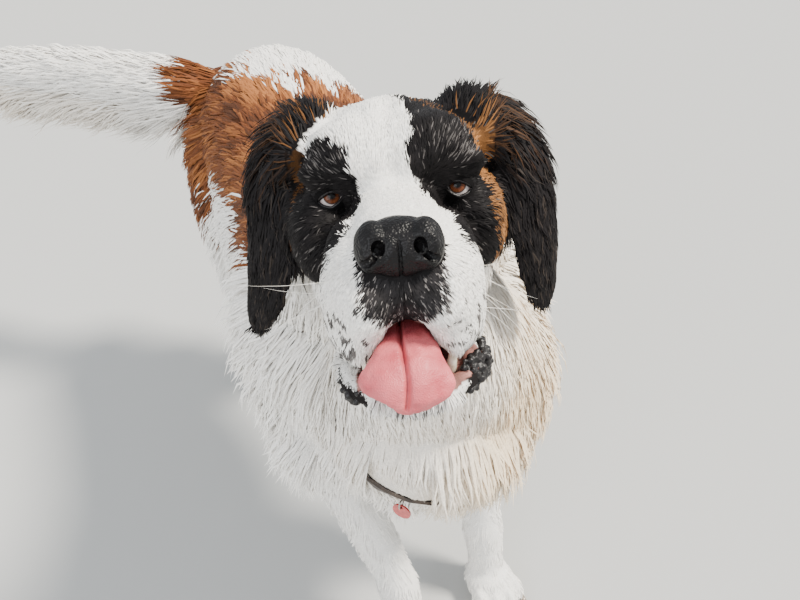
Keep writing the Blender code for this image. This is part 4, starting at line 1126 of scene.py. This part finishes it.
def lie_and_coat(part, points, normals):
    """The lie of the coat, and its (length, lift, width) and sag, at each point of one part of it."""
    local = to_local(points)
    if part == "face":
        lie = to_world(blend(local, HEAD_LIE))
        coat = blend(local, HEAD_COAT)
        sag = np.zeros(len(points))
    elif part == "ears":
        lie = np.zeros((len(points), 3))
        share = np.zeros(len(points))
        for s in (1, -1):
            ear, along_ear, direction = on_ear(local, s)
            lie[ear] = to_world(direction[ear] + (0.15 * s, 0.12, -0.25))
            share[ear] = along_ear[ear]
        coat = np.stack([0.036 - 0.022 * smoothstep(0.2, 0.8, share),
                         0.36 - 0.16 * smoothstep(0.1, 0.6, share), 0.0020 - 0.0004 * share], axis=1)
        sag = np.full(len(points), 0.05)
    elif part == "tail":
        share, _, direction = along(points, TAIL)
        below = np.maximum(0, -normals[:, 2])
        lie = direction + np.stack([0 * below, 0 * below, -0.75 * below], axis=1)
        coat = np.stack([0.070 + 0.045 * below - 0.025 * smoothstep(0.75, 1.0, share), 0.78 + 0.10 * below,
                         0.0034 + 0 * below], axis=1)
        sag = 0.02 + 0.22 * below
    else:
        lie = blend(points, BODY_LIE)
        coat = blend(points, BODY_COAT)
        sag = np.full(len(points), 0.06 if part == "neck" else 0.04)
    lie = lie - normals * (lie * normals).sum(axis=1)[:, None]
    return unit(lie + 1e-6), coat, sag


def stations(line, count):
    """Points spread along a line of straight stretches."""
    at = np.linspace(0, len(line) - 1, count)
    return np.stack([np.interp(at, np.arange(len(line)), axis) for axis in np.array(line).T], axis=1)


def marks_in_view(strap):
    """What the coat leaves in view, with widths: a stretch of the strap, the tag and the lips' edges."""
    marks = [(TAG_AT, 0.016)]
    for place in stations(STRAP_SEEN, 14):
        for across in (-0.008, 0.0, 0.008):
            marks.append((np.array(strap.find_nearest(Vector(place + STRAP_AXIS * across))[0]), 0.0075))
    for line in (*LIP_EDGES, INNER_LIP):
        marks += [(place, 0.0042) for place in to_world(stations(line, 12)) + HEAD_AT]
    return marks


def before_marks(places, marks):
    """True for places that would hide one of the marks from in front and above."""
    eye = np.array(CAMERA_AT)
    hides = np.zeros(len(places), bool)
    for mark, reach in marks:
        ray = (eye - mark) / np.linalg.norm(eye - mark)
        ahead = (places - mark) @ ray
        aside = np.linalg.norm(places - mark - ahead[:, None] * ray, axis=1)
        hides |= (aside < reach) & (ahead > -0.003) & (ahead < HIDING_REACH)
    return hides


def make_room(roots, upward, lies, coat, sags, strap):
    """Lifts the coat over the collar, and parts it at the bare stretch of the strap and at the tag."""
    gap = np.array([strap.find_nearest(root)[3] for root in roots.tolist()])
    seen = line_gap(roots, STRAP_SEEN)
    over = smoothstep(0.085, 0.045, gap + seeded.normal(0, 0.008, len(gap)))
    over *= smoothstep(0.050, 0.130, seen)
    coat[:, 0] += over * np.maximum(0, COVER - coat[:, 0])
    coat[:, 1] += over * np.maximum(0, 0.40 + 0.24 * smoothstep(0.10, 0.17, seen) - coat[:, 1])
    marks = marks_in_view(strap)
    near_mouth = np.linalg.norm(to_local(roots) - (0, -0.05, -0.13), axis=1) < 0.11
    near = np.nonzero(near_mouth | (seen < 0.20))[0]
    for _ in range(ROUNDS):
        hides = np.zeros(len(near), bool)
        for share in (0.12, 0.35, 0.6, 0.8, 1.0):
            rise = coat[near, 1:2] * (share - BEND * share ** 2)
            bent = lies[near] * share + upward[near] * rise
            bent[:, 2] -= sags[near] * share ** 2
            hides |= before_marks(roots[near] + bent * coat[near, :1], marks)
        coat[near[hides], 0] *= SHORTENED
        coat[near[hides], 1] *= LOWERED
    return coat


def grow_coat(skin, mouth, nose, strap):
    points, normals, triangles = points_of(skin.data), normals_of(skin.data), triangles_of(skin.data)
    unwrap = Unwrap(skin)
    middles = points[triangles].mean(axis=1)
    facing = unit(np.cross(points[triangles[:, 1]] - points[triangles[:, 0]],
                           points[triangles[:, 2]] - points[triangles[:, 0]]))
    hairy = ~bare_places(middles, to_local(middles), mouth, nose)
    names = parts_of(middles)
    pieces = []
    for part, (count, kind, gather, lock_size, wave) in COATS.items():
        _, coat, _ = lie_and_coat(part, middles, facing)
        density = (names == part) * hairy / (coat[:, 0] * coat[:, 2])
        roots, upward = scattered(points, normals, triangles, density, count)
        lies, coat, sags = lie_and_coat(part, roots, upward)
        coat = make_room(roots, upward, lies, coat, sags, strap)
        seen = roots + lies * coat[:, :1] * 0.45 + upward * 0.004
        colours = markings(seen, seeded.random(count), seeded.random(count))
        pieces += tuft_meshes(part, roots, upward, lies, coat, sags, colours, unwrap.at(roots), kind, gather,
                              lock_size, wave)
    return pieces


# Eyes, lids, nose, mouth, claws and whiskers

CORNEA = 0.0008         # how far the cornea bulges
CORNEA_SPREAD = 0.45    # and how wide, in radians from the gaze
EYE_RINGS = 60
EYE_SIDES = 64
PUPIL = 0.24            # the pupil's edge, in radians from the gaze
GAZE_ABOVE = Vector((0.0, 0.0, 0.12))       # from the camera to the point that the eyes look at
LID_RIM_OUT = 0.0012    # how far the rim of the lids lies out of the eyeball
UPPER_RIM, LOWER_RIM = 0.0021, 0.0016       # how thick it is
IRIS_DARK = np.array((0.045, 0.013, 0.006))
IRIS_LIT = np.array((0.150, 0.047, 0.018))
# The white is painted dim, as painted shade on the eye; towards the lids it turns to the pink of the corners,
# darkened as painted shade under the lids
SHADED_EYE_WHITE = np.array((0.50, 0.44, 0.42))
CORNER_PINK_AND_SHADE = np.array((0.38, 0.22, 0.20))
PUPIL_BLACK = np.array((0.002, 0.002, 0.002))


def tube(bm, points, radii, sides=10, closed=False):
    """A round tube through the points; closed joins its ends, else they are flat."""
    rings = []
    count = len(points)
    for i, (point, radius) in enumerate(zip(points, radii)):
        before = points[i - 1] if closed or i else point
        after = points[(i + 1) % count] if closed or i < count - 1 else point
        tangent = (after - before).normalized()
        across = (across - tangent * across.dot(tangent) if rings else tangent.orthogonal()).normalized()
        up = tangent.cross(across)
        rings.append([bm.verts.new(point + (across * math.cos(a) + up * math.sin(a)) * radius)
                      for a in around(sides)])
    for low, high in zip(rings, rings[1:] + rings[:1] if closed else rings[1:]):
        bridge(bm, low, high)
    if not closed:
        bm.faces.new(rings[0][::-1])
        bm.faces.new(rings[-1])


def eye_colours(points):
    """The pupil, the streaked iris and the white, by the angle from the gaze; the white is painted dim, and
    darker pink towards the lids, as painted shade.
    """
    angle = np.arctan2(np.hypot(points[:, 0], points[:, 1]), points[:, 2])
    turn = np.arctan2(points[:, 1], points[:, 0])
    streaks = 0.5 + 0.5 * np.sin(turn * 23 + 2 * np.sin(turn * 7))
    iris = mix(IRIS_DARK, IRIS_LIT, smoothstep(PUPIL, 0.40, angle) * (0.45 + 0.55 * streaks))
    iris = iris * (1 - 0.93 * smoothstep(0.46, 0.55, angle))[:, None]
    white = mix(SHADED_EYE_WHITE, CORNER_PINK_AND_SHADE, smoothstep(0.75, 1.10, angle))
    colour = mix(iris, white, smoothstep(0.56, 0.60, angle))
    return mix(colour, PUPIL_BLACK, angle < PUPIL)


def make_eye(name, s):
    """An eyeball with its cornea that looks at the camera."""
    centre = head_matrix @ Vector((s * EYE_X, EYE_Y, 0.0))
    gaze = (CAMERA_AT + GAZE_ABOVE - centre).normalized()
    turn = gaze.to_track_quat("Z", "Y").to_matrix().to_4x4()
    bm = bmesh.new()
    front = bm.verts.new((0, 0, EYE_RADIUS + CORNEA))
    rows = []
    for i in range(1, EYE_RINGS):
        angle = math.pi * (i / EYE_RINGS) ** 1.35
        radius = EYE_RADIUS + CORNEA * math.exp(-(angle / CORNEA_SPREAD) ** 2)
        out = radius * math.sin(angle)
        rows.append([bm.verts.new((out * math.cos(a), out * math.sin(a), radius * math.cos(angle)))
                     for a in around(EYE_SIDES)])
    back = bm.verts.new((0, 0, -EYE_RADIUS))
    for k, first in enumerate(rows[0]):
        j = (k + 1) % len(rows[0])
        bm.faces.new((front, first, rows[0][j]))
        bm.faces.new((back, rows[-1][j], rows[-1][k]))
    for low, high in zip(rows, rows[1:]):
        bridge(bm, high, low)
    mesh = mesh_from(bm, name)
    paint(mesh, eye_colours(points_of(mesh)))
    mesh.transform(Matrix.Translation(centre) @ turn)
    return link(name, mesh)


def make_lids(name, s):
    """The dark wet rim of the lids, on the eyeball."""
    points = []
    radii = []
    for x, z in lid_line(s, 48):
        depth = math.sqrt(max(1e-8, (EYE_RADIUS + LID_RIM_OUT) ** 2 - (x - s * EYE_X) ** 2 - z ** 2))
        points.append(Vector((x, EYE_Y - depth, z)))
        radii.append(UPPER_RIM if z > 0 else LOWER_RIM)
    return made(name, (lambda bm: tube(bm, points, radii, sides=12, closed=True), head_matrix))


def make_nose():
    """The nose pad, with comma nostrils and the groove down its middle."""
    def pad(bm):
        balls(bm, NOSE_BALL, segments=40, rings=28)
        for s in (1, -1):
            balls(bm, sided(NOSE_WING, s), segments=32, rings=24)
    nose = remeshed(made("nose_pad", (pad, head_matrix)), 0.0011, 6)
    boolean(nose, "DIFFERENCE", [
        made("nostril", (lambda bm, s=s: limb(bm, sided(NOSTRIL, s), sides=24, steps=5), head_matrix))
        for s in (1, -1)])
    points = points_of(nose.data)
    left, ahead, up = to_local(points).T
    front = smoothstep(-0.118, -0.128, ahead)
    groove = np.exp(-(left / 0.0011) ** 2) * smoothstep(-0.024, -0.034, up) * front * 0.0026
    wing = np.hypot(np.abs(left) - 0.0145, up + 0.034)
    rim = 0.0010 * np.exp(-((wing - 0.0095) / 0.0022) ** 2) * front
    lump = 0.0006 * (noise(points, 0.005, 31) - 0.5)
    pushed(nose.data, rim + lump - groove)
    return nose


def make_tongue():
    """The tongue, with its groove, its two lobes and a rippled surface."""
    tongue = made("tongue_wet", (lambda bm: limb(bm, TONGUE, sides=150, steps=22, cup=-0.25), head_matrix))
    points = points_of(tongue.data)
    local = to_local(points)
    facing = to_local(points + normals_of(tongue.data)) - local
    top = smoothstep(-0.2, 0.4, facing @ np.array((0, -0.6, 0.8)))
    bend = 0.0016 * np.sin(local[:, 2] * 90)
    groove = 0.0050 * np.exp(-((local[:, 0] + 0.004 - bend) / 0.0017) ** 2)
    lobes = 0.0022 * np.exp(-((np.abs(local[:, 0] + 0.004) - 0.013) / 0.009) ** 2)
    ripple = 0.0022 * (noise(points, 0.013, 41) - 0.5) + 0.0007 * (noise(points, 0.004, 42) - 0.5)
    pushed(tongue.data, top * (lobes - groove) + ripple)
    return tongue


def make_lip_fringe():
    """The black crinkled lower lips at the corners of the mouth."""
    def crinkles(bm):
        for edge in map(np.array, LIP_EDGES):
            count = 26 * (len(edge) - 1)
            for k in range(count):
                place = (len(edge) - 1) * k / count
                first = int(place)
                base = Vector(edge[first] + (edge[first + 1] - edge[first]) * (place - first))
                offset = Vector(seeded.normal(0, 1, 3) * (0.0022, 0.0022, 0.0034))
                radius = 0.0014 + 0.0018 * seeded.random()
                ellipsoid(bm, base + offset, (radius * 1.2, radius, radius * 1.2), segments=10, rings=8)
    return remeshed(made("lips", (crinkles, head_matrix)), 0.0010, 2)


def make_claws():
    def all_claws(bm):
        for centre, width in paws():
            for toe, tip in toe_places(centre, width):
                limb(bm, [(*(toe + (tip - toe) * 0.45), 0.0048, 0.0055), (*tip, 0.0042, 0.0048),
                          (*(tip + Vector((0, -0.008, -0.006))), 0.0018, 0.002)], sides=16, steps=4)
    return made("claws", all_claws)


def make_whiskers():
    """Long pale hairs on the lips."""
    def hairs(bm):
        for s in (1, -1):
            for k in range(8):
                row, place = divmod(k, 3)
                root = Vector((s * (0.044 + 0.004 * row), -0.092 + 0.018 * place, -0.056 - 0.014 * row))
                away = Vector((s * 0.9, seeded.uniform(0.0, 0.6), seeded.uniform(-0.75, 0.0))).normalized()
                length = 0.040 + 0.035 * seeded.random()
                bend = Vector((s * 0.05, 0.10, -0.25)) * seeded.uniform(-0.6, 1.6)
                shares = (0, 0.2, 0.4, 0.6, 0.8, 1)
                tube(bm, [root + away * length * t + bend * length * t * t for t in shares],
                     [0.00026 * (1 - 0.85 * t) for t in shares], sides=5)
    return made("whiskers", (hairs, head_matrix))


def make_teeth():
    """The two lower canines, which the open mouth shows."""
    def canines(bm):
        for s in (1, -1):
            limb(bm, sided(TOOTH, s), sides=16, steps=4)
    return made("teeth", (canines, head_matrix))


# Materials

# Of each: colour, roughness, other values; the scale and detail of the noise that tints it, and its colours
# by place; the strength and depth of its bumps, and the pattern that makes them where it isn't the noise
FULL = (1.0, 1.0, 1.0)
MATERIALS = {
    "coat": ((0.8, 0.76, 0.7), 0.60, {"Specular IOR Level": 0.09}, (420, 2),
             ((0.30, (0.80, 0.80, 0.80)), (0.70, (1.06, 1.05, 1.04))), (0.25, 0.0004), None),
    "skin": ((0.7, 0.6, 0.5), 0.75, {"Specular IOR Level": 0.06}, (900, 4),
             ((0.35, (0.72, 0.72, 0.72)), (0.65, FULL)), (0.35, 0.0006), None),
    "nose_leather": ((0.012, 0.011, 0.012), 0.40, {"Specular IOR Level": 0.18}, (90, 5),
                     ((0.35, (0.002, 0.0018, 0.002)), (0.75, (0.007, 0.006, 0.0065))), (0.55, 0.0010),
                     {"Scale": 620.0, "feature": "SMOOTH_F1", "Smoothness": 0.4}),
    "tongue": ((0.62, 0.22, 0.23), 0.50, {"Coat Weight": 0.10, "Coat Roughness": 0.30}, (60, 4),
               ((0.30, (0.46, 0.060, 0.075)), (0.70, (0.66, 0.140, 0.150))), (0.55, 0.0008),
               {"Scale": 900.0}),
    "eye": ((0.1, 0.04, 0.02), 0.06, {"Specular IOR Level": 0.16}, (1500, 3),
            ((0.3, (0.75, 0.75, 0.75)), (0.7, FULL)), None, None),
    "wet_black": ((0.012, 0.010, 0.011), 0.35, {"Specular IOR Level": 0.35}, (500, 4),
                  ((0.35, (0.003, 0.0025, 0.0025)), (0.75, (0.018, 0.014, 0.014))), (0.5, 0.0012), None),
    "claw": ((0.20, 0.15, 0.11), 0.40, {"Coat Weight": 0.15}, (260, 5),
             ((0.3, (0.10, 0.075, 0.055)), (0.7, (0.34, 0.27, 0.20))), (0.25, 0.0005), None),
    "tooth": ((0.78, 0.72, 0.58), 0.22, {"Coat Weight": 0.5}, (240, 3),
              ((0.3, (0.62, 0.52, 0.36)), (0.7, (0.82, 0.78, 0.66))), None, None),
    "whisker": ((0.86, 0.83, 0.76), 0.30, {}, (80, 2),
                ((0.3, (0.74, 0.68, 0.58)), (0.7, (0.90, 0.88, 0.82))), None, None),
    "collar_leather": ((0.07, 0.05, 0.04), 0.50, {"Coat Weight": 0.1}, (45, 6),
                       ((0.35, (0.030, 0.021, 0.016)), (0.60, (0.085, 0.060, 0.044)),
                        (0.80, (0.17, 0.13, 0.10))),
                       (0.45, 0.0007), {"Scale": 500.0}),
    "tag_enamel": ((0.50, 0.03, 0.03), 0.28, {"Coat Weight": 0.8, "Coat Roughness": 0.1}, (220, 6),
                   ((0.30, (0.30, 0.015, 0.015)), (0.62, (0.55, 0.035, 0.030)), (0.85, (0.60, 0.30, 0.26))),
                   (0.15, 0.0003), None),
    "worn_steel": ((0.55, 0.52, 0.47), 0.32, {"Metallic": 1.0}, (380, 6),
                   ((0.3, (0.34, 0.31, 0.27)), (0.7, (0.66, 0.63, 0.58))), (0.2, 0.0002), None),
}
PAINTED = ("coat", "skin", "eye")       # these carry the colours of their own points


def plain_material(name, colour, roughness, settings):
    """A Principled material with its values set on its own sockets."""
    material = bpy.data.materials.new(name)
    material.use_nodes = True
    shader = material.node_tree.nodes["Principled BSDF"]
    shader.inputs["Base Color"].default_value = (*colour, 1)
    shader.inputs["Roughness"].default_value = roughness
    for key, value in settings.items():
        shader.inputs[key].default_value = value
    return material, shader


def node(material, kind, **values):
    made_node = material.node_tree.nodes.new("ShaderNode" + kind)
    for key, value in values.items():
        if key in made_node.inputs:
            made_node.inputs[key].default_value = value
        else:
            setattr(made_node, key, value)
    return made_node


def textured(material, kind, **values):
    """A procedural texture in the model's own axes."""
    texture = node(material, "Tex" + kind, **values)
    material.node_tree.links.new(node(material, "TexCoord").outputs["Object"], texture.inputs["Vector"])
    return texture


def make_material(name):
    """The material of that name in MATERIALS."""
    colour, roughness, settings, (scale, detail), stops, bumps, pattern = MATERIALS[name]
    material, shader = plain_material(name, colour, roughness, settings)
    join = material.node_tree.links.new
    grain = textured(material, "Noise", Scale=scale, Detail=detail).outputs["Fac"]
    ramp = node(material, "ValToRGB")
    elements = ramp.color_ramp.elements
    while len(elements) < len(stops):
        elements.new(0.5)
    for element, (place, tone) in zip(elements, stops):
        element.position = place
        element.color = (*tone, 1)
    join(grain, ramp.inputs["Fac"])
    colours = ramp.outputs["Color"]
    if name in PAINTED:
        mixed = node(material, "Mix", data_type="RGBA", blend_type="MULTIPLY")
        mixed.inputs["Factor"].default_value = 1.0
        join(node(material, "Attribute", attribute_name="coat").outputs["Color"], mixed.inputs["A"])
        join(colours, mixed.inputs["B"])
        colours = mixed.outputs["Result"]
    join(colours, shader.inputs["Base Color"])
    if bumps:
        bump = node(material, "Bump", Strength=bumps[0], Distance=bumps[1])
        height = textured(material, "Voronoi", **pattern).outputs["Distance"] if pattern else grain
        join(height, bump.inputs["Height"])
        join(bump.outputs["Normal"], shader.inputs["Normal"])
    return material


def finish_piece(piece, material, nodes=()):
    """Gives a piece its material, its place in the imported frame, its body and what it stands for."""
    piece.data.materials.clear()
    piece.data.materials.append(material)
    if not piece.data.has_custom_normals:
        piece.data.shade_smooth()
    piece.data.transform(Matrix.Translation(shift))
    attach(piece, "root")
    if nodes:
        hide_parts(*nodes)


def dress_node(name, material):
    """A CAD node that stays gets its detailed material."""
    obj = bpy.data.objects[name]
    obj.data.materials.clear()
    obj.data.materials.append(material)


# Floor, light and camera

FOCAL_SHARE = 766.1 / 800           # focal length over the picture's width
CAMERA_YAW = math.radians(21.635)   # to the right of straight ahead
CAMERA_PITCH = math.radians(39.605)  # downwards
CAMERA_ROLL = math.radians(-2.561)
SENSOR = 36.0                       # the picture's width on the sensor, in millimetres
FLOOR_HALF = 14
KEY_FROM = Vector((0.85, -0.35, 1.25))
KEY_POWER = 8.5
KEY_SPREAD = math.radians(12)       # the sun's width in the sky, which softens its shadows
FILL_AT = Vector((-2.4, -2.2, 2.2))
FILL_AIM = Vector((0, -0.2, 0.6))
FILL_POWER = 75
FILL_SIDE = 2.2
ROOM_STRENGTH = 1.3


def make_stage():
    bm = bmesh.new()
    bmesh.ops.create_grid(bm, x_segments=2, y_segments=2, size=FLOOR_HALF)
    floor = link("floor", mesh_from(bm, "floor"))
    floor.data.materials.append(plain_material("pale_floor", (0.42, 0.42, 0.41), 0.85, {})[0])


def add_light(name, kind, power, colour, shines):
    """A light that shines along a direction."""
    light = bpy.data.lights.new(name, kind)
    light.energy = power
    light.color = colour
    obj = link(name, light)
    obj.rotation_euler = Vector(shines).to_track_quat("-Z", "Y").to_euler()
    return obj


def make_light():
    """A warm soft sun from the left, a weak cool fill from the right, and a bright even room."""
    world = bpy.data.worlds.new("soft_room")
    world.use_nodes = True
    background = world.node_tree.nodes["Background"]
    background.inputs["Color"].default_value = (0.90, 0.95, 1.0, 1)
    background.inputs["Strength"].default_value = ROOM_STRENGTH
    bpy.context.scene.world = world
    sun = add_light("key", "SUN", KEY_POWER, (1.0, 0.945, 0.85), -KEY_FROM)
    sun.data.angle = KEY_SPREAD
    fill = add_light("fill", "AREA", FILL_POWER, (0.95, 0.97, 1.0), FILL_AIM - FILL_AT)
    fill.data.size = FILL_SIDE
    fill.location = FILL_AT


def make_camera():
    data = bpy.data.cameras.new("camera")
    data.sensor_fit = "HORIZONTAL"
    data.sensor_width = SENSOR
    data.lens = SENSOR * FOCAL_SHARE
    data.clip_start = 0.02
    camera = link("camera", data)
    level = Vector((math.cos(CAMERA_YAW), -math.sin(CAMERA_YAW), 0))
    level_share = math.cos(CAMERA_PITCH)
    ahead = Vector((math.sin(CAMERA_YAW) * level_share, math.cos(CAMERA_YAW) * level_share,
                    -math.sin(CAMERA_PITCH)))
    upright = level.cross(ahead)
    right = level * math.cos(CAMERA_ROLL) + upright * math.sin(CAMERA_ROLL)
    up = upright * math.cos(CAMERA_ROLL) - level * math.sin(CAMERA_ROLL)
    turn = Matrix((right, up, -ahead)).transposed().to_4x4()
    camera.matrix_world = Matrix.Translation(CAMERA_AT + shift) @ turn
    bpy.context.scene.camera = camera


def skin_colours(points, mouth):
    """The coat's markings on the skin under it, darker: a little under the white, as painted shade under the
    coat, and to half under the dark marks; the black lips and the pink inside of the mouth.
    """
    local = to_local(points)
    middling = np.full(len(points), 0.5)
    colours = markings(points, middling, middling)
    # Painted shade under the white coat; under the dark marks the skin is made a deeper black
    colours *= np.where(colours.mean(axis=1) > 0.4, 0.95, 0.50)[:, None]
    lip = np.array([mouth.find_nearest(Vector(p), 0.0045)[0] is not None for p in points.tolist()])
    for edge in LIP_EDGES:
        lip |= line_gap(local, edge) < 0.0095
    inner = in_mouth(local) | (line_gap(local, INNER_LIP) < 0.0075)
    mottled = (0.25 + 0.9 * noise(points, 0.006, 51))[:, None]
    return mix(mix(colours, LIP, lip), SKIN_PINK * mottled, inner)


def middle_of(name):
    low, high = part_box(name)
    return (Vector(low) + Vector(high)) / 2


# The part is shifted so that its box is centred; the eyes say by how much
shift = sum(((middle_of("eye_" + name) - head_matrix @ Vector((s * EYE_X, EYE_Y, 0.0)))
             for name, s in SIDES.items()), Vector()) / 2
shift.z = 0.0

clear_default_objects()
make_stage()
make_light()
make_camera()

mouth_shape = mouth_cutter()
mouth_tree = tree_of(mouth_shape)
bpy.data.objects.remove(mouth_shape, do_unlink=True)
nose_pad = make_nose()
skin = make_skin()
coat_pieces = grow_coat(skin, mouth_tree, tree_of(nose_pad), tree_of(bpy.data.objects["collar"], shift))
paint(skin.data, skin_colours(points_of(skin.data), mouth_tree))

FLESH = [name for name in frame["nodes"] if name.split("_")[0] in (
    "head", "lower", "ear", "neck", "torso", "foreleg", "forepaw", "thigh", "hock", "hindpaw", "tail")]
coat, wet_black, eye = make_material("coat"), make_material("wet_black"), make_material("eye")
finish_piece(skin, make_material("skin"), FLESH)
for piece in coat_pieces:
    finish_piece(piece, coat)
finish_piece(nose_pad, make_material("nose_leather"), ["nose"])
finish_piece(make_tongue(), make_material("tongue"), ["tongue"])
for side, s in SIDES.items():
    finish_piece(make_eye("eyeball_" + side, s), eye, ["eye_" + side])
    finish_piece(make_lids("lids_" + side, s), wet_black)
finish_piece(make_lip_fringe(), wet_black)
finish_piece(make_claws(), make_material("claw"))
finish_piece(make_whiskers(), make_material("whisker"))
finish_piece(make_teeth(), make_material("tooth"))
for name, material in (("collar", "collar_leather"), ("tag", "tag_enamel"), ("tag_ring", "worn_steel")):
    dress_node(name, make_material(material))
